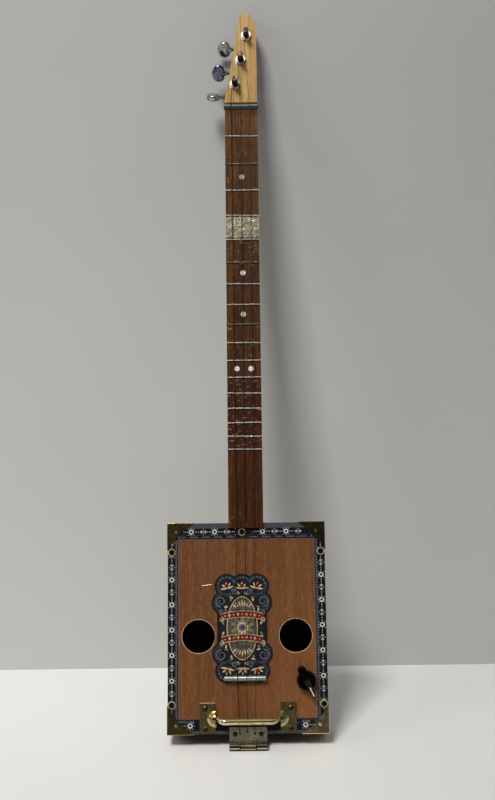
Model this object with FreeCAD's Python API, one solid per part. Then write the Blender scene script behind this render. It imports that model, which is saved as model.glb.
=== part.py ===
import FreeCAD, Part
import math
import os

# A three-string cigar box guitar, standing on its tail hinge.
# Lengths are in millimetres. X runs to the right, Y from the front to the back, Z up the neck.
# The origin lies on the floor, under the middle of the instrument's bounding box.

# Playing length, fretboard and frets
scale_length = 647.7
fretboard_thickness = 6.0
fretboard_lap = 5.5
fretboard_past_nut = 2.6
fret_count = 17
fret_wire_diameter = 1.3
fret_overhang = 0.6
fret_tilt_degrees = 0.8
dot_diameter = 6.0
dot_thickness = 1.0
dot_pair_spacing = 15.7
foil_thickness = 0.4
foil_margin = 2.0

# Nut and bridge rods
rod_diameter = 6.35
rod_end_chamfer = 0.8
nut_rod_length = 40.5
nut_rise = 2.6
bridge_rod_length = 45.5
bridge_offset = -2.6
bridge_setback = 3.5

# Neck stick and headstock
neck_width = 38.1
neck_thickness = 19.0
neck_back_round = 6.0
heel_length = 14.0
notch_depth = 3.0
notch_margin = 22.0
headstock_length = 123.5
headstock_thickness = 13.0
headstock_ramp_low = 8.0
headstock_ramp_high = 12.0
headstock_round = 1.5

# Box of wooden panels
box_width = 171.0
box_height = 222.0
box_depth = 48.0
panel_thickness = 3.2
wall_thickness = 6.5
box_above_floor = 16.0
bridge_line_above_box = 60.5
sound_hole_diameter = 35.5
sound_hole_from_side = 33.15
sound_hole_above_box = 101.1
paper_thickness = 0.2
paper_side_band = 12.0
paper_top_band = 18.0
paper_bottom_band = 16.0
label_width = 66.0
label_height = 116.0
label_offset = -5.2
label_above_box = 109.5
label_lobe_radius = 13.0
label_waist_width = 54.0
staple_crown = 10.7
staple_leg = 2.6
staple_wire_diameter = 0.7
staple_offset = -43.1
staple_above_box = 155.3
staple_tilt_degrees = 6.0

# Brass corners and their nails
corner_leg_across = 28.5
corner_leg_along = 29.0
corner_leg_deep = 20.0
corner_sheet = 0.8
corner_hollow = 3.0
corner_edge_round = 0.7
nail_head_radius = 1.5
nail_head_height = 0.6
nail_shank_radius = 0.6
nail_length = 2.9
nail_inset = 9.0
nail_side_inset = 14.5
nail_deep_inset = 6.5

# Brass screws that hold the front panel
panel_screw_inset = 4.4
panel_screw_from_top = 31.4
panel_screw_from_bottom = 30.0
neck_screw_offset = -4.5
neck_screw_from_top = 9.9
panel_screw_shank_radius = 1.6
panel_screw_length = 15.0
panel_screw_head_radius = 3.0
cup_radius = 4.3
cup_height = 1.6
cup_bore_radius = 1.9

# Tail hinge
hinge_width = 40.0
hinge_sheet = 1.5
hinge_barrel_radius = 3.9
hinge_pin_radius = 1.5
hinge_leaf_reach = 19.2
hinge_middle_knuckle = 17.0
hinge_knuckle_gap = 0.3
hinge_screw_spacing = 27.6
hinge_screw_hole_radius = 2.6
hinge_screw_from_edge = 7.1
hinge_leaf_gap = 0.8
hinge_screw_radius = 1.9
hinge_screw_head_radius = 3.5
hinge_screw_head_height = 1.6
hinge_screw_length = 16.0
string_hole_radius = 1.05

# Chest handle
plate_from_side = 33.9
plate_width = 17.0
plate_height = 32.0
plate_thickness = 1.2
plate_corner_round = 0.9
plate_above_box = 0.3
plate_screw_from_edge = 10.9
plate_screw_low = 4.6
plate_screw_high = 25.8
plate_screw_radius = 1.6
plate_screw_head_radius = 3.0
plate_screw_head_height = 1.1
plate_screw_length = 9.0
socket_radius = 8.2
socket_sheet = 0.9
socket_height = 15.4
bail_radius = 3.45
bail_neck_radius = 2.9
bail_ball_radius = 3.0
bail_ball_inset = 1.4
bail_pivot_proud = 3.7
bail_bar_proud = 8.5
bail_bar_drop = 2.3
bail_bend_length = 9.7

# Knob and potentiometer
knob_from_side = 22.8
knob_above_box = 54.3
knob_turn_degrees = 25.0
knob_lift = 0.6
knob_height = 15.4
knob_skirt_radius = 10.5
knob_skirt_top_radius = 9.3
knob_skirt_height = 6.4
knob_tail_reach = 16.8
knob_tail_radius = 4.4
knob_nose_reach = 19.6
knob_nose_radius = 1.2
knob_nose_drop = 7.0
knob_nose_lift = 1.2
knob_crown = 1.4
knob_cavity_radius = 7.0
knob_cavity_depth = 3.4
pointer_start = 7.0
pointer_length = 10.5
pointer_width = 1.1
pointer_depth = 0.5
set_screw_radius = 1.4
set_screw_length = 4.0
set_screw_height = 5.4
pot_case_radius = 8.2
pot_case_depth = 8.0
pot_bushing_radius = 3.4
pot_bushing_proud = 3.0
pot_shaft_radius = 3.0
pot_shaft_proud = 13.0
pot_shaft_sunk = 4.7
pot_nut_flats = 10.0
pot_nut_height = 2.0
pot_lug_width = 2.0
pot_lug_thickness = 0.8
pot_lug_length = 6.0
pot_lug_pitch = 4.0

# Piezo disc, output jack and leads
piezo_radius = 13.5
piezo_thickness = 0.3
ceramic_radius = 10.0
ceramic_thickness = 0.3
piezo_from_side = 50.5
piezo_above_box = 69.0
jack_from_side = 23.5
jack_depth = 26.0
jack_sleeve_radius = 4.8
plug_bore_radius = 3.2
jack_sleeve_proud = 3.6
jack_flange_size = 15.0
jack_flange_thickness = 1.6
jack_nut_flats = 12.0
jack_nut_height = 2.4
jack_arm_width = 5.0
jack_arm_thickness = 0.8
jack_arm_length = 18.0
jack_arm_offset = 4.6
lead_radius = 0.6
lead_bend_radius = 4.0
lead_stub = 7.0

# Strings
string_diameters = [0.9, 0.7, 0.5]
string_centre_offset = -0.9
string_spacing_at_nut = 11.0
string_spacing_at_bridge = 9.9
string_spacing_at_tail = 8.0
string_hole_height = 16.4
string_middle_hole_rise = 2.1
string_bend_radius = 1.5
string_lift = 0.6
ball_radius = 1.9
wrap_turns = 3.25
wrap_gap = 0.5

# Tuners
tuner_first_offset = -6.9
tuner_step_across = 6.9
tuner_first_rise = 31.4
tuner_pitch = 30.9
headstock_bore_radius = 5.0
washer_radius = 6.6
washer_thickness = 0.8
bushing_flats = 11.0
bushing_head_height = 2.5
bushing_length = 9.0
post_radius = 3.0
post_height = 16.5
post_waist_radius = 2.5
post_waist_low = 9.0
post_waist_high = 13.5
post_chamfer = 0.5
post_hole_radius = 0.7
post_hole_height = 11.2
base_plate_thickness = 1.0
ear_radius = 2.8
ear_offset = 4.0
ear_drop = 14.5
ear_screw_radius = 1.1
ear_screw_head_radius = 2.1
ear_screw_head_height = 1.4
ear_screw_length = 9.0
housing_radius = 7.6
housing_depth = 10.0
housing_left = 9.5
housing_right = 6.5
housing_drop = 12.0
housing_round = 1.2
gear_teeth = 14
gear_radius = 4.3
gear_root_radius = 3.5
gear_thickness = 4.6
gear_setback = 1.6
gear_float = 0.4
thrust_collar_radius = 3.8
pivot_radius = 2.0
pivot_length = 2.2
worm_offset = 7.0
worm_core_radius = 1.5
worm_thread_radius = 0.55
worm_thread_rise = 0.3
worm_thread_turns = 4
worm_half_length = 4.6
worm_well_half_length = 5.1
worm_pivot_length = 0.8
worm_shaft_radius = 2.0
button_reach = 27.0
button_length = 14.7
button_width = 19.7
button_thickness = 7.0
button_edge_round = 2.6
button_socket_depth = 5.0
button_stem_radius = 3.2
button_stem_length = 2.2
button_screw_radius = 1.2
button_screw_head_radius = 2.2
button_screw_head_height = 0.8
button_turn_degrees = [-52.0, 30.0, 55.0]

# Clearances and the overrun of every cut
seat_clearance = 0.05
running_clearance = 0.06
joint_clearance = 0.1
part_gap = 0.3
overrun = 1.0

RIGHT = FreeCAD.Vector(1, 0, 0)
LEFT = FreeCAD.Vector(-1, 0, 0)
BACK = FreeCAD.Vector(0, 1, 0)
FRONT = FreeCAD.Vector(0, -1, 0)
UP = FreeCAD.Vector(0, 0, 1)
DOWN = FreeCAD.Vector(0, 0, -1)

# Depths. The front panel's face lies so that the knob's top and the rear corners are equally far out.
front_reach = knob_lift + knob_height
back_reach = box_depth + corner_sheet + nail_head_height
face_y = (front_reach - back_reach) / 2
panel_back_y = face_y + panel_thickness
stick_front_y = panel_back_y
stick_back_y = stick_front_y + neck_thickness
fretboard_front_y = stick_front_y - fretboard_thickness
back_panel_front_y = face_y + box_depth - panel_thickness
headstock_face_y = stick_front_y
headstock_back_y = headstock_face_y + headstock_thickness

# Heights
box_low_z = box_above_floor
box_high_z = box_low_z + box_height
bridge_line_z = box_low_z + bridge_line_above_box
bridge_z = bridge_line_z - bridge_setback
nut_z = bridge_line_z + scale_length
stub_low_z = 2 * hinge_barrel_radius
handle_low_z = box_low_z + plate_above_box
pivot_z = handle_low_z + socket_height
hole_z = box_low_z + sound_hole_above_box
knob_z = box_low_z + knob_above_box

# Widths
neck_half = neck_width / 2
box_half = box_width / 2
wall_inner = box_half - wall_thickness
rod_radius = rod_diameter / 2
nut_rod_y = fretboard_front_y + rod_radius - nut_rise
bridge_rod_y = face_y - paper_thickness - rod_radius
hole_half = box_half - sound_hole_from_side
plate_inner_edge = box_half - plate_from_side - plate_width
bail_straight_half = plate_inner_edge - bail_bend_length
knob_offset = box_half - knob_from_side
piezo_offset = box_half - piezo_from_side
jack_offset = box_half - jack_from_side


def at(x, y, z):
    return FreeCAD.Vector(x, y, z)


def block(x0, x1, y0, y1, z0, z1):
    return Part.makeBox(x1 - x0, y1 - y0, z1 - z0, at(x0, y0, z0))


def rod(radius, length, start, direction):
    return Part.makeCylinder(radius, length, start, direction)


def prism(points, direction):
    """A straight-sided outline pushed along a direction."""
    outline = Part.makePolygon(points + [points[0]])
    return Part.Face(outline).extrude(direction)


def hexagon(flats, height, centre, direction):
    """A six-sided nut blank whose axis is Y or Z, standing on its centre."""
    corner = flats / math.sqrt(3)
    points = []
    for step in range(6):
        angle = math.radians(60 * step)
        across = corner * math.cos(angle)
        along = corner * math.sin(angle)
        if abs(direction.y) > abs(direction.z):
            points.append(centre + at(across, 0, along))
        else:
            points.append(centre + at(across, along, 0))
    return prism(points, direction * height)


def lathe(profile, centre, direction):
    """Turns (radius, distance) pairs about the line through centre along direction."""
    side = RIGHT if abs(direction.x) < abs(direction.y) + abs(direction.z) else UP
    points = [centre + side * radius + direction * distance for radius, distance in profile]
    outline = Part.makePolygon(points + [points[0]])
    return Part.Face(outline).revolve(centre, direction, 360)


def corner_arc(before, corner, after):
    """The arc that touches both runs at before and after, which lie equally far from the corner."""
    middle = (before + after) * (1 / 2)
    tangent = (corner - before).Length
    half_chord = (after - before).Length / 2
    half_turn = math.acos(min(1, half_chord / tangent))
    radius = tangent / math.tan(half_turn)
    rise = radius * (1 - math.cos(half_turn))
    inward = (corner - middle).normalize()
    return Part.Arc(before, middle + inward * rise, after).toShape()


def rounded_path(points, radii):
    """Straight runs joined by tangent arcs; radii belongs to the inner points."""
    edges = []
    start = points[0]
    for index in range(1, len(points) - 1):
        corner = points[index]
        into = (corner - points[index - 1]).normalize()
        out = (points[index + 1] - corner).normalize()
        turn = into.getAngle(out)
        tangent = radii[index - 1] * math.tan(turn / 2)
        before = corner - into * tangent
        after = corner + out * tangent
        edges.append(Part.LineSegment(start, before).toShape())
        edges.append(corner_arc(before, corner, after))
        start = after
    edges.append(Part.LineSegment(start, points[-1]).toShape())
    return Part.Wire(edges)


def tube(path, radius):
    """A round wire drawn along a path."""
    first = path.OrderedEdges[0]
    start = first.valueAt(first.FirstParameter)
    heading = first.tangentAt(first.FirstParameter)
    ring = Part.Wire([Part.Circle(start, heading, radius).toShape()])
    return path.makePipeShell([ring], True, False)


def coil_point(centre, radius, pitch, angle):
    """A point of a coil about a line along Y; the coil climbs to the front as the angle falls."""
    climb = pitch * (math.pi - angle) / (2 * math.pi)
    return centre + at(radius * math.cos(angle), -climb, radius * math.sin(angle))


def coil_heading(radius, pitch, angle):
    slope = pitch / (2 * math.pi)
    return at(radius * math.sin(angle), -slope, -radius * math.cos(angle)).normalize()


def biarc(start, heading, end, final):
    """Two tangent arcs from start to end with the given headings."""
    span = end - start
    both = heading + final
    a = 2 * (1 - heading.dot(final))
    b = 2 * span.dot(both)
    c = -span.dot(span)
    reach = (math.sqrt(b * b - 4 * a * c) - b) / (2 * a)
    first = start + heading * reach
    second = end - final * reach
    join = (first + second) * (1 / 2)
    return [corner_arc(start, first, join), corner_arc(join, second, end)]


def coil_path(centre, radius, pitch, turns, straight):
    """A coil in quarter turns that starts at the left of its axis, with straight ends."""
    quarters = round(4 * turns)
    angles = [math.pi - step * math.pi / 2 for step in range(quarters + 1)]
    places = [coil_point(centre, radius, pitch, angle) for angle in angles]
    headings = [coil_heading(radius, pitch, angle) for angle in angles]
    edges = [Part.LineSegment(places[0] - headings[0] * straight, places[0]).toShape()]
    for index in range(quarters):
        edges += biarc(places[index], headings[index], places[index + 1], headings[index + 1])
    edges.append(Part.LineSegment(places[-1], places[-1] + headings[-1] * straight).toShape())
    return Part.Wire(edges)


def least_gap(centre, radius, pitch, turns, diameter):
    """The least gap of a coil to itself, measured on points more than half a turn apart."""
    per_turn = 24
    total = round(per_turn * turns)
    points = [coil_point(centre, radius, pitch, math.pi - 2 * math.pi * step / per_turn)
              for step in range(total + 1)]
    gaps = []
    for first in range(total + 1):
        for second in range(first + per_turn // 2 + 1, total + 1):
            gaps.append((points[first] - points[second]).Length - diameter)
    return min(gaps)


def mirrored(shape):
    return shape.mirror(at(0, 0, 0), RIGHT)


def group(shapes):
    return Part.makeCompound(shapes)


def save(name, shape):
    solids = shape.Solids
    sound = all(solid.isValid() for solid in solids)
    print(name, len(solids), "solids", round(sum(solid.Volume for solid in solids), 3), "valid", sound)
    result = solids[0] if len(solids) == 1 else Part.makeCompound(solids)
    result.exportStep("parts/" + name + ".step")


# Frets

def fret_z(number):
    """Height of a fret's line: each fret shortens the string by the twelfth root of two."""
    return bridge_line_z + scale_length / 2 ** (number / 12)


def fret_wires(radius):
    """One wire across the fretboard for each fret, each a little out of square."""
    wires = []
    for number in range(1, fret_count + 1):
        length = neck_width + 2 * fret_overhang
        start = at(-length / 2, fretboard_front_y, fret_z(number))
        wire = rod(radius, length, start, RIGHT)
        tilt = fret_tilt_degrees * math.sin(2 * number)
        wire.rotate(at(0, fretboard_front_y, fret_z(number)), BACK, tilt)
        wires.append(wire)
    return wires


def dot_places():
    """Single dots in front of frets 3, 7 and 9 and a pair in front of fret 12."""
    places = []
    for number, offsets in [(3, [0]), (7, [0]), (9, [0]), (12, [-1 / 2, 1 / 2])]:
        height = (fret_z(number - 1) + fret_z(number)) / 2
        for offset in offsets:
            places.append(at(offset * dot_pair_spacing, fretboard_front_y, height))
    return places


def position_dots():
    return [rod(dot_diameter / 2, dot_thickness, place, BACK) for place in dot_places()]


def foil_plate():
    """A thin metal plate glued between frets 4 and 5."""
    low = fret_z(5) + foil_margin
    high = fret_z(4) - foil_margin
    return block(-neck_half, neck_half, fretboard_front_y - foil_thickness, fretboard_front_y, low, high)


def rod_with_chamfers(length, x, y, z):
    start = x - length / 2
    profile = [(0, 0), (rod_radius - rod_end_chamfer, 0), (rod_radius, rod_end_chamfer),
               (rod_radius, length - rod_end_chamfer), (rod_radius - rod_end_chamfer, length), (0, length)]
    return lathe(profile, at(start, y, z), RIGHT)


def fretboard():
    low = box_high_z - fretboard_lap
    high = nut_z + rod_radius + fretboard_past_nut
    board = block(-neck_half, neck_half, fretboard_front_y, stick_front_y, low, high)
    cuts = fret_wires(fret_wire_diameter / 2)
    cuts += position_dots()
    groove_length = neck_width + 2 * overrun
    cuts.append(rod(rod_radius, groove_length, at(-groove_length / 2, nut_rod_y, nut_z), RIGHT))
    return board.cut(cuts)


# Neck stick

# Shares of the neck's half width across and of the headstock's length above the nut.
headstock_start_shares = (-1, 0.09)
headstock_left_shares = (-0.03, 0.963)
headstock_crown_shares = (0.16, 0.991)
headstock_tip_shares = (0.44, 1)
headstock_shoulder_shares = (0.852, 0.916)
headstock_right_shares = (1, 0.8137)


def headstock_point(shares):
    return at(neck_half * shares[0], stick_front_y, nut_z + headstock_length * shares[1])


def neck_outline():
    foot_left = at(-neck_half, stick_front_y, stub_low_z)
    foot_right = at(neck_half, stick_front_y, stub_low_z)
    start = headstock_point(headstock_start_shares)
    left = headstock_point(headstock_left_shares)
    tip = headstock_point(headstock_tip_shares)
    right = headstock_point(headstock_right_shares)
    edges = [Part.LineSegment(foot_left, start).toShape(), Part.LineSegment(start, left).toShape(),
             Part.Arc(left, headstock_point(headstock_crown_shares), tip).toShape(),
             Part.Arc(tip, headstock_point(headstock_shoulder_shares), right).toShape(),
             Part.LineSegment(right, foot_right).toShape(), Part.LineSegment(foot_right, foot_left).toShape()]
    return Part.Face(Part.Wire(edges))


def headstock_relief():
    """The wood sawn off behind the headstock, with a hollow curve below it."""
    low = at(-neck_half - overrun, stick_back_y, nut_z - headstock_ramp_low)
    high = at(-neck_half - overrun, headstock_back_y, nut_z + headstock_ramp_high)
    depth = (stick_back_y - headstock_back_y) * 0.78
    bend = at(-neck_half - overrun, stick_back_y - depth, nut_z)
    top = nut_z + headstock_length + overrun
    end = at(-neck_half - overrun, headstock_back_y, top)
    far_top = at(-neck_half - overrun, stick_back_y + overrun, top)
    far_low = at(-neck_half - overrun, stick_back_y + overrun, low.z)
    edges = [Part.Arc(low, bend, high).toShape(), Part.LineSegment(high, end).toShape(),
             Part.LineSegment(end, far_top).toShape(), Part.LineSegment(far_top, far_low).toShape(),
             Part.LineSegment(far_low, low).toShape()]
    return Part.Face(Part.Wire(edges)).extrude(RIGHT * (neck_width + 2 * overrun))


def back_edge_round(side):
    """What the rounding takes off one back edge of the neck, from the heel to the headstock."""
    low = box_high_z + heel_length
    high = nut_z - headstock_ramp_low
    length = high - low
    centre_x = side * (neck_half - neck_back_round)
    centre_y = stick_back_y - neck_back_round
    outer_x = side * (neck_half + overrun)
    square = block(min(centre_x, outer_x), max(centre_x, outer_x),
                   centre_y, stick_back_y + overrun, low, high)
    return square.cut(rod(neck_back_round, length, at(centre_x, centre_y, low), UP))


def neck():
    stick = neck_outline().extrude(BACK * neck_thickness)
    under_lid = block(-neck_half - overrun, neck_half + overrun, stick_front_y - overrun,
                      stick_front_y + notch_depth, box_low_z + notch_margin, box_high_z - notch_margin)
    cuts = [headstock_relief(), back_edge_round(1), back_edge_round(-1), under_lid]
    for place in tuner_places():
        start = at(place.x, headstock_face_y - overrun, place.z)
        cuts.append(rod(headstock_bore_radius, headstock_thickness + 2 * overrun, start, BACK))
        cuts.append(ear_screw(place, seat_clearance))
    cuts.append(panel_screw(neck_screw_offset, box_high_z - neck_screw_from_top, seat_clearance))
    cuts += [hinge_screw(side, seat_clearance) for side in (-1, 1)]
    return stick.cut(cuts)


# Box

def neck_slot(low, high):
    return block(-neck_half, neck_half, stick_front_y - overrun, stick_back_y, low, high)


def panel_screw_places():
    side = box_half - panel_screw_inset
    low = box_low_z + panel_screw_from_bottom
    high = box_high_z - panel_screw_from_top
    return [(-side, low), (side, low), (-side, high), (side, high),
            (neck_screw_offset, box_high_z - neck_screw_from_top)]


def panel_screw(x, z, extra):
    """A countersunk wood screw; extra widens it for the hole that it fills."""
    shank = panel_screw_shank_radius + extra
    top = cup_height + paper_thickness
    profile = [(0, -top), (panel_screw_head_radius, -top), (shank, -paper_thickness),
               (shank, panel_screw_length - shank), (0, panel_screw_length + extra)]
    return lathe(profile, at(x, face_y, z), BACK)


def panel_screws():
    screws = []
    for x, z in panel_screw_places():
        screw = panel_screw(x, z, 0)
        bar = panel_screw_head_radius * 0.6
        thin = panel_screw_head_radius * 0.12
        deep = cup_height * 0.7
        front = face_y - paper_thickness - cup_height
        cross = [block(x - bar, x + bar, front - overrun, front + deep, z - thin, z + thin),
                 block(x - thin, x + thin, front - overrun, front + deep, z - bar, z + bar)]
        for slot in cross:
            slot.rotate(at(x, face_y, z), BACK, 35)
        screws.append(screw.cut(cross))
    return screws


def cup_washers():
    """Pressed brass cups; the screw's countersunk head lies in each."""
    cups = []
    rim = cup_height * 0.95
    for x, z in panel_screw_places():
        profile = [(cup_bore_radius, 0), (cup_radius, 0), (cup_radius * 0.93, rim * 0.6),
                   (panel_screw_head_radius + 2 * part_gap, rim), (panel_screw_head_radius + part_gap, rim),
                   (cup_bore_radius, part_gap)]
        cups.append(lathe(profile, at(x, face_y - paper_thickness, z), FRONT))
    return cups


def side_wall(side):
    x0 = wall_inner if side > 0 else -box_half
    wall = block(x0, x0 + wall_thickness, panel_back_y, back_panel_front_y, box_low_z, box_high_z)
    cuts = [panel_screw(x, z, seat_clearance) for x, z in panel_screw_places() if x * side > wall_inner]
    cuts += nails(seat_clearance)
    return wall.cut(cuts)


def neck_wall():
    wall = block(-wall_inner, wall_inner, panel_back_y, back_panel_front_y,
                 box_high_z - wall_thickness, box_high_z)
    slot = neck_slot(box_high_z - wall_thickness - overrun, box_high_z + overrun)
    return wall.cut([slot] + nails(seat_clearance))


def tail_wall():
    wall = block(-wall_inner, wall_inner, panel_back_y, back_panel_front_y,
                 box_low_z, box_low_z + wall_thickness)
    cuts = [neck_slot(box_low_z - overrun, box_low_z + wall_thickness + overrun)]
    jack_bore = jack_sleeve_radius + seat_clearance
    cuts.append(rod(jack_bore, wall_thickness + 2 * overrun, jack_place(box_low_z - overrun), UP))
    cuts += [plate_screw(x, z, seat_clearance) for x, z in plate_screw_places()]
    return wall.cut(cuts + nails(seat_clearance))


def back_panel():
    panel = block(-box_half, box_half, back_panel_front_y, face_y + box_depth, box_low_z, box_high_z)
    return panel.cut(nails(seat_clearance))


def ball_recess():
    """Room behind the hinge leaf for the ball ends, let into the panel's tail edge."""
    reach = string_spacing_at_tail + ball_radius + joint_clearance
    high = string_hole_height + string_middle_hole_rise + ball_radius + part_gap
    return block(string_centre_offset - reach, string_centre_offset + reach, face_y - overrun,
                 panel_back_y, box_low_z - overrun, high)


def fretboard_notch():
    low = box_high_z - fretboard_lap - joint_clearance
    return block(-neck_half - joint_clearance, neck_half + joint_clearance, face_y - overrun,
                 panel_back_y + overrun, low, box_high_z + overrun)


def sound_holes():
    length = panel_thickness + 2 * overrun
    return [rod(sound_hole_diameter / 2, length, at(side * hole_half, face_y - overrun, hole_z), BACK)
            for side in (-1, 1)]


def front_panel():
    panel = block(-box_half, box_half, face_y, panel_back_y, box_low_z, box_high_z)
    cuts = sound_holes() + [fretboard_notch(), ball_recess()]
    cuts += [panel_screw(x, z, seat_clearance) for x, z in panel_screw_places()]
    cuts += [plate_screw(x, z, seat_clearance) for x, z in plate_screw_places()]
    cuts += nails(seat_clearance)
    pot_hole = pot_bushing_radius + seat_clearance
    cuts.append(rod(pot_hole, panel_thickness + 2 * overrun, at(knob_offset, face_y - overrun, knob_z), BACK))
    cuts.append(staple(seat_clearance))
    return panel.cut(cuts)


def border_paper():
    """The printed paper that frames the front panel."""
    sheet = block(-box_half, box_half, face_y - paper_thickness, face_y, box_low_z, box_high_z)
    window_half = box_half - paper_side_band
    window = block(-window_half, window_half, face_y - overrun, face_y + overrun,
                   box_low_z + paper_bottom_band, box_high_z - paper_top_band)
    cuts = [window, fretboard_notch(), ball_recess()]
    shank = panel_screw_shank_radius + seat_clearance
    for x, z in panel_screw_places():
        cuts.append(rod(shank, 2 * overrun, at(x, face_y - overrun, z), BACK))
    cuts += [plate_screw(x, z, seat_clearance) for x, z in plate_screw_places()]
    return sheet.cut(cuts + nails(seat_clearance))


# Shares of the label's half width and half height for the middles of its lobes.
label_lobe_shares = [(0.5, 0.77), (0, 0.77), (0.6, 0.46)]


def face_label():
    """A paper label with a scalloped outline, cut away where it meets a sound hole."""
    centre_x = label_offset
    centre_z = box_low_z + label_above_box
    y0 = face_y - paper_thickness
    tall = label_height / 2 - label_lobe_radius
    waist = label_waist_width / 2
    sheet = block(centre_x - waist, centre_x + waist, y0, face_y, centre_z - tall, centre_z + tall)
    lobes = []
    for across, along in label_lobe_shares:
        for side in (-1, 1):
            for end in (-1, 1):
                place = at(centre_x + side * across * label_width / 2, y0,
                           centre_z + end * along * label_height / 2)
                lobes.append(rod(label_lobe_radius, paper_thickness, place, BACK))
    return sheet.fuse(lobes).removeSplitter().cut(sound_holes())


def staple(extra):
    """A wire staple: its crown lies on the panel and its legs go in."""
    x = staple_offset
    z = box_low_z + staple_above_box
    radius = staple_wire_diameter / 2 + extra
    proud = face_y - staple_wire_diameter / 2 - seat_clearance
    half = staple_crown / 2
    points = [at(x - half, face_y + staple_leg, z), at(x - half, proud, z),
              at(x + half, proud, z), at(x + half, face_y + staple_leg, z)]
    bend = staple_wire_diameter
    wire = tube(rounded_path(points, [bend, bend]), radius)
    wire.rotate(at(x, face_y, z), BACK, -staple_tilt_degrees)
    return wire


# Brass corners

def corner_nail_places():
    """Nail positions of one corner, counted from its tip: across, deep and along, then the way in."""
    return [(nail_inset, 0, nail_inset, BACK), (nail_side_inset, nail_deep_inset, 0, DOWN),
            (0, nail_deep_inset, nail_side_inset, LEFT)]


def nail(place, inward, extra):
    """A domed nail through the brass sheet at place, which lies on the wood."""
    head = nail_head_radius
    low = corner_sheet
    profile = [(0, -low - nail_head_height), (head * 0.6, -low - nail_head_height * 0.8),
               (head, -low), (nail_shank_radius + extra, -low),
               (nail_shank_radius + extra, nail_length - nail_shank_radius), (0, nail_length + extra)]
    return lathe(profile, place, inward)


def nails(extra):
    """All nails of the eight corners."""
    result = []
    for side in (-1, 1):
        for end in (-1, 1):
            for depth in (-1, 1):
                for across, deep, along, inward in corner_nail_places():
                    x = side * (box_half - across)
                    front = face_y - paper_thickness + deep if deep == 0 else face_y + deep
                    back = face_y + box_depth - deep
                    z = box_high_z - along if end > 0 else box_low_z + along
                    way = at(inward.x * side, -inward.y * depth, inward.z * end)
                    result.append(nail(at(x, front if depth < 0 else back, z), way, extra))
    return result


def corner_scoop(leg_a, leg_b):
    """Radius of the hollow long edge between two legs."""
    chord = math.hypot(leg_a, leg_b)
    return chord * chord / (8 * corner_hollow) + corner_hollow / 2


def scoop_centre(leg_a, leg_b, radius):
    """Centre of that edge's arc, in the plane of the two legs."""
    chord = math.hypot(leg_a, leg_b)
    out_a = leg_b / chord
    out_b = leg_a / chord
    reach = radius - corner_hollow
    return leg_a / 2 + out_a * reach, leg_b / 2 + out_b * reach


def corner_piece():
    """One corner at the origin: X, Y and Z run inwards along the box's edges."""
    sheet = corner_sheet
    outer = block(-sheet, corner_leg_across, -sheet, corner_leg_deep, -sheet, corner_leg_along)
    edges = [edge for edge in outer.Edges
             if sum(abs(edge.CenterOfMass[axis] + sheet) < corner_edge_round for axis in range(3)) == 2]
    outer = outer.makeFillet(corner_edge_round, edges)
    inner = block(0, corner_leg_across + overrun, 0, corner_leg_deep + overrun, 0, corner_leg_along + overrun)
    shell = outer.cut(inner)
    cuts = []
    radius = corner_scoop(corner_leg_across, corner_leg_along)
    a, b = scoop_centre(corner_leg_across, corner_leg_along, radius)
    cuts.append(rod(radius, sheet + overrun, at(a, -sheet - overrun, b), BACK))
    radius = corner_scoop(corner_leg_across, corner_leg_deep)
    a, b = scoop_centre(corner_leg_across, corner_leg_deep, radius)
    cuts.append(rod(radius, sheet + overrun, at(a, b, -sheet - overrun), UP))
    radius = corner_scoop(corner_leg_deep, corner_leg_along)
    a, b = scoop_centre(corner_leg_deep, corner_leg_along, radius)
    cuts.append(rod(radius, sheet + overrun, at(-sheet - overrun, a, b), RIGHT))
    return shell.cut(cuts)


def box_corners():
    """The same piece at all eight corners, pierced for its nails."""
    piece = corner_piece()
    holes = nails(seat_clearance)
    result = []
    for side in (-1, 1):
        for end in (-1, 1):
            for depth in (-1, 1):
                corner = piece
                if side > 0:
                    corner = corner.mirror(at(0, 0, 0), RIGHT)
                if depth > 0:
                    corner = corner.mirror(at(0, 0, 0), BACK)
                if end > 0:
                    corner = corner.mirror(at(0, 0, 0), UP)
                corner = corner.copy()
                y = face_y - paper_thickness if depth < 0 else face_y + box_depth
                corner.translate(at(side * box_half, y, box_high_z if end > 0 else box_low_z))
                result.append(corner.cut(holes))
    return result


# Tail hinge

hinge_pin_y = face_y - hinge_leaf_gap - hinge_barrel_radius
hinge_pin_z = hinge_barrel_radius


def hinge_knuckle(x0, x1):
    return rod(hinge_barrel_radius, x1 - x0, at(x0, hinge_pin_y, hinge_pin_z), RIGHT)


def hinge_pin_bore():
    start = at(-hinge_width / 2 - overrun, hinge_pin_y, hinge_pin_z)
    return rod(hinge_pin_radius + running_clearance, hinge_width + 2 * overrun, start, RIGHT)


def hinge_screw_height():
    """Distance of the leaves' screw holes from the pin's axis."""
    return hinge_leaf_reach - hinge_screw_from_edge


def string_hole_places():
    places = []
    for index in (-1, 0, 1):
        rise = string_middle_hole_rise if index == 0 else 0
        places.append((string_centre_offset + index * string_spacing_at_tail, string_hole_height + rise))
    return places


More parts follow.
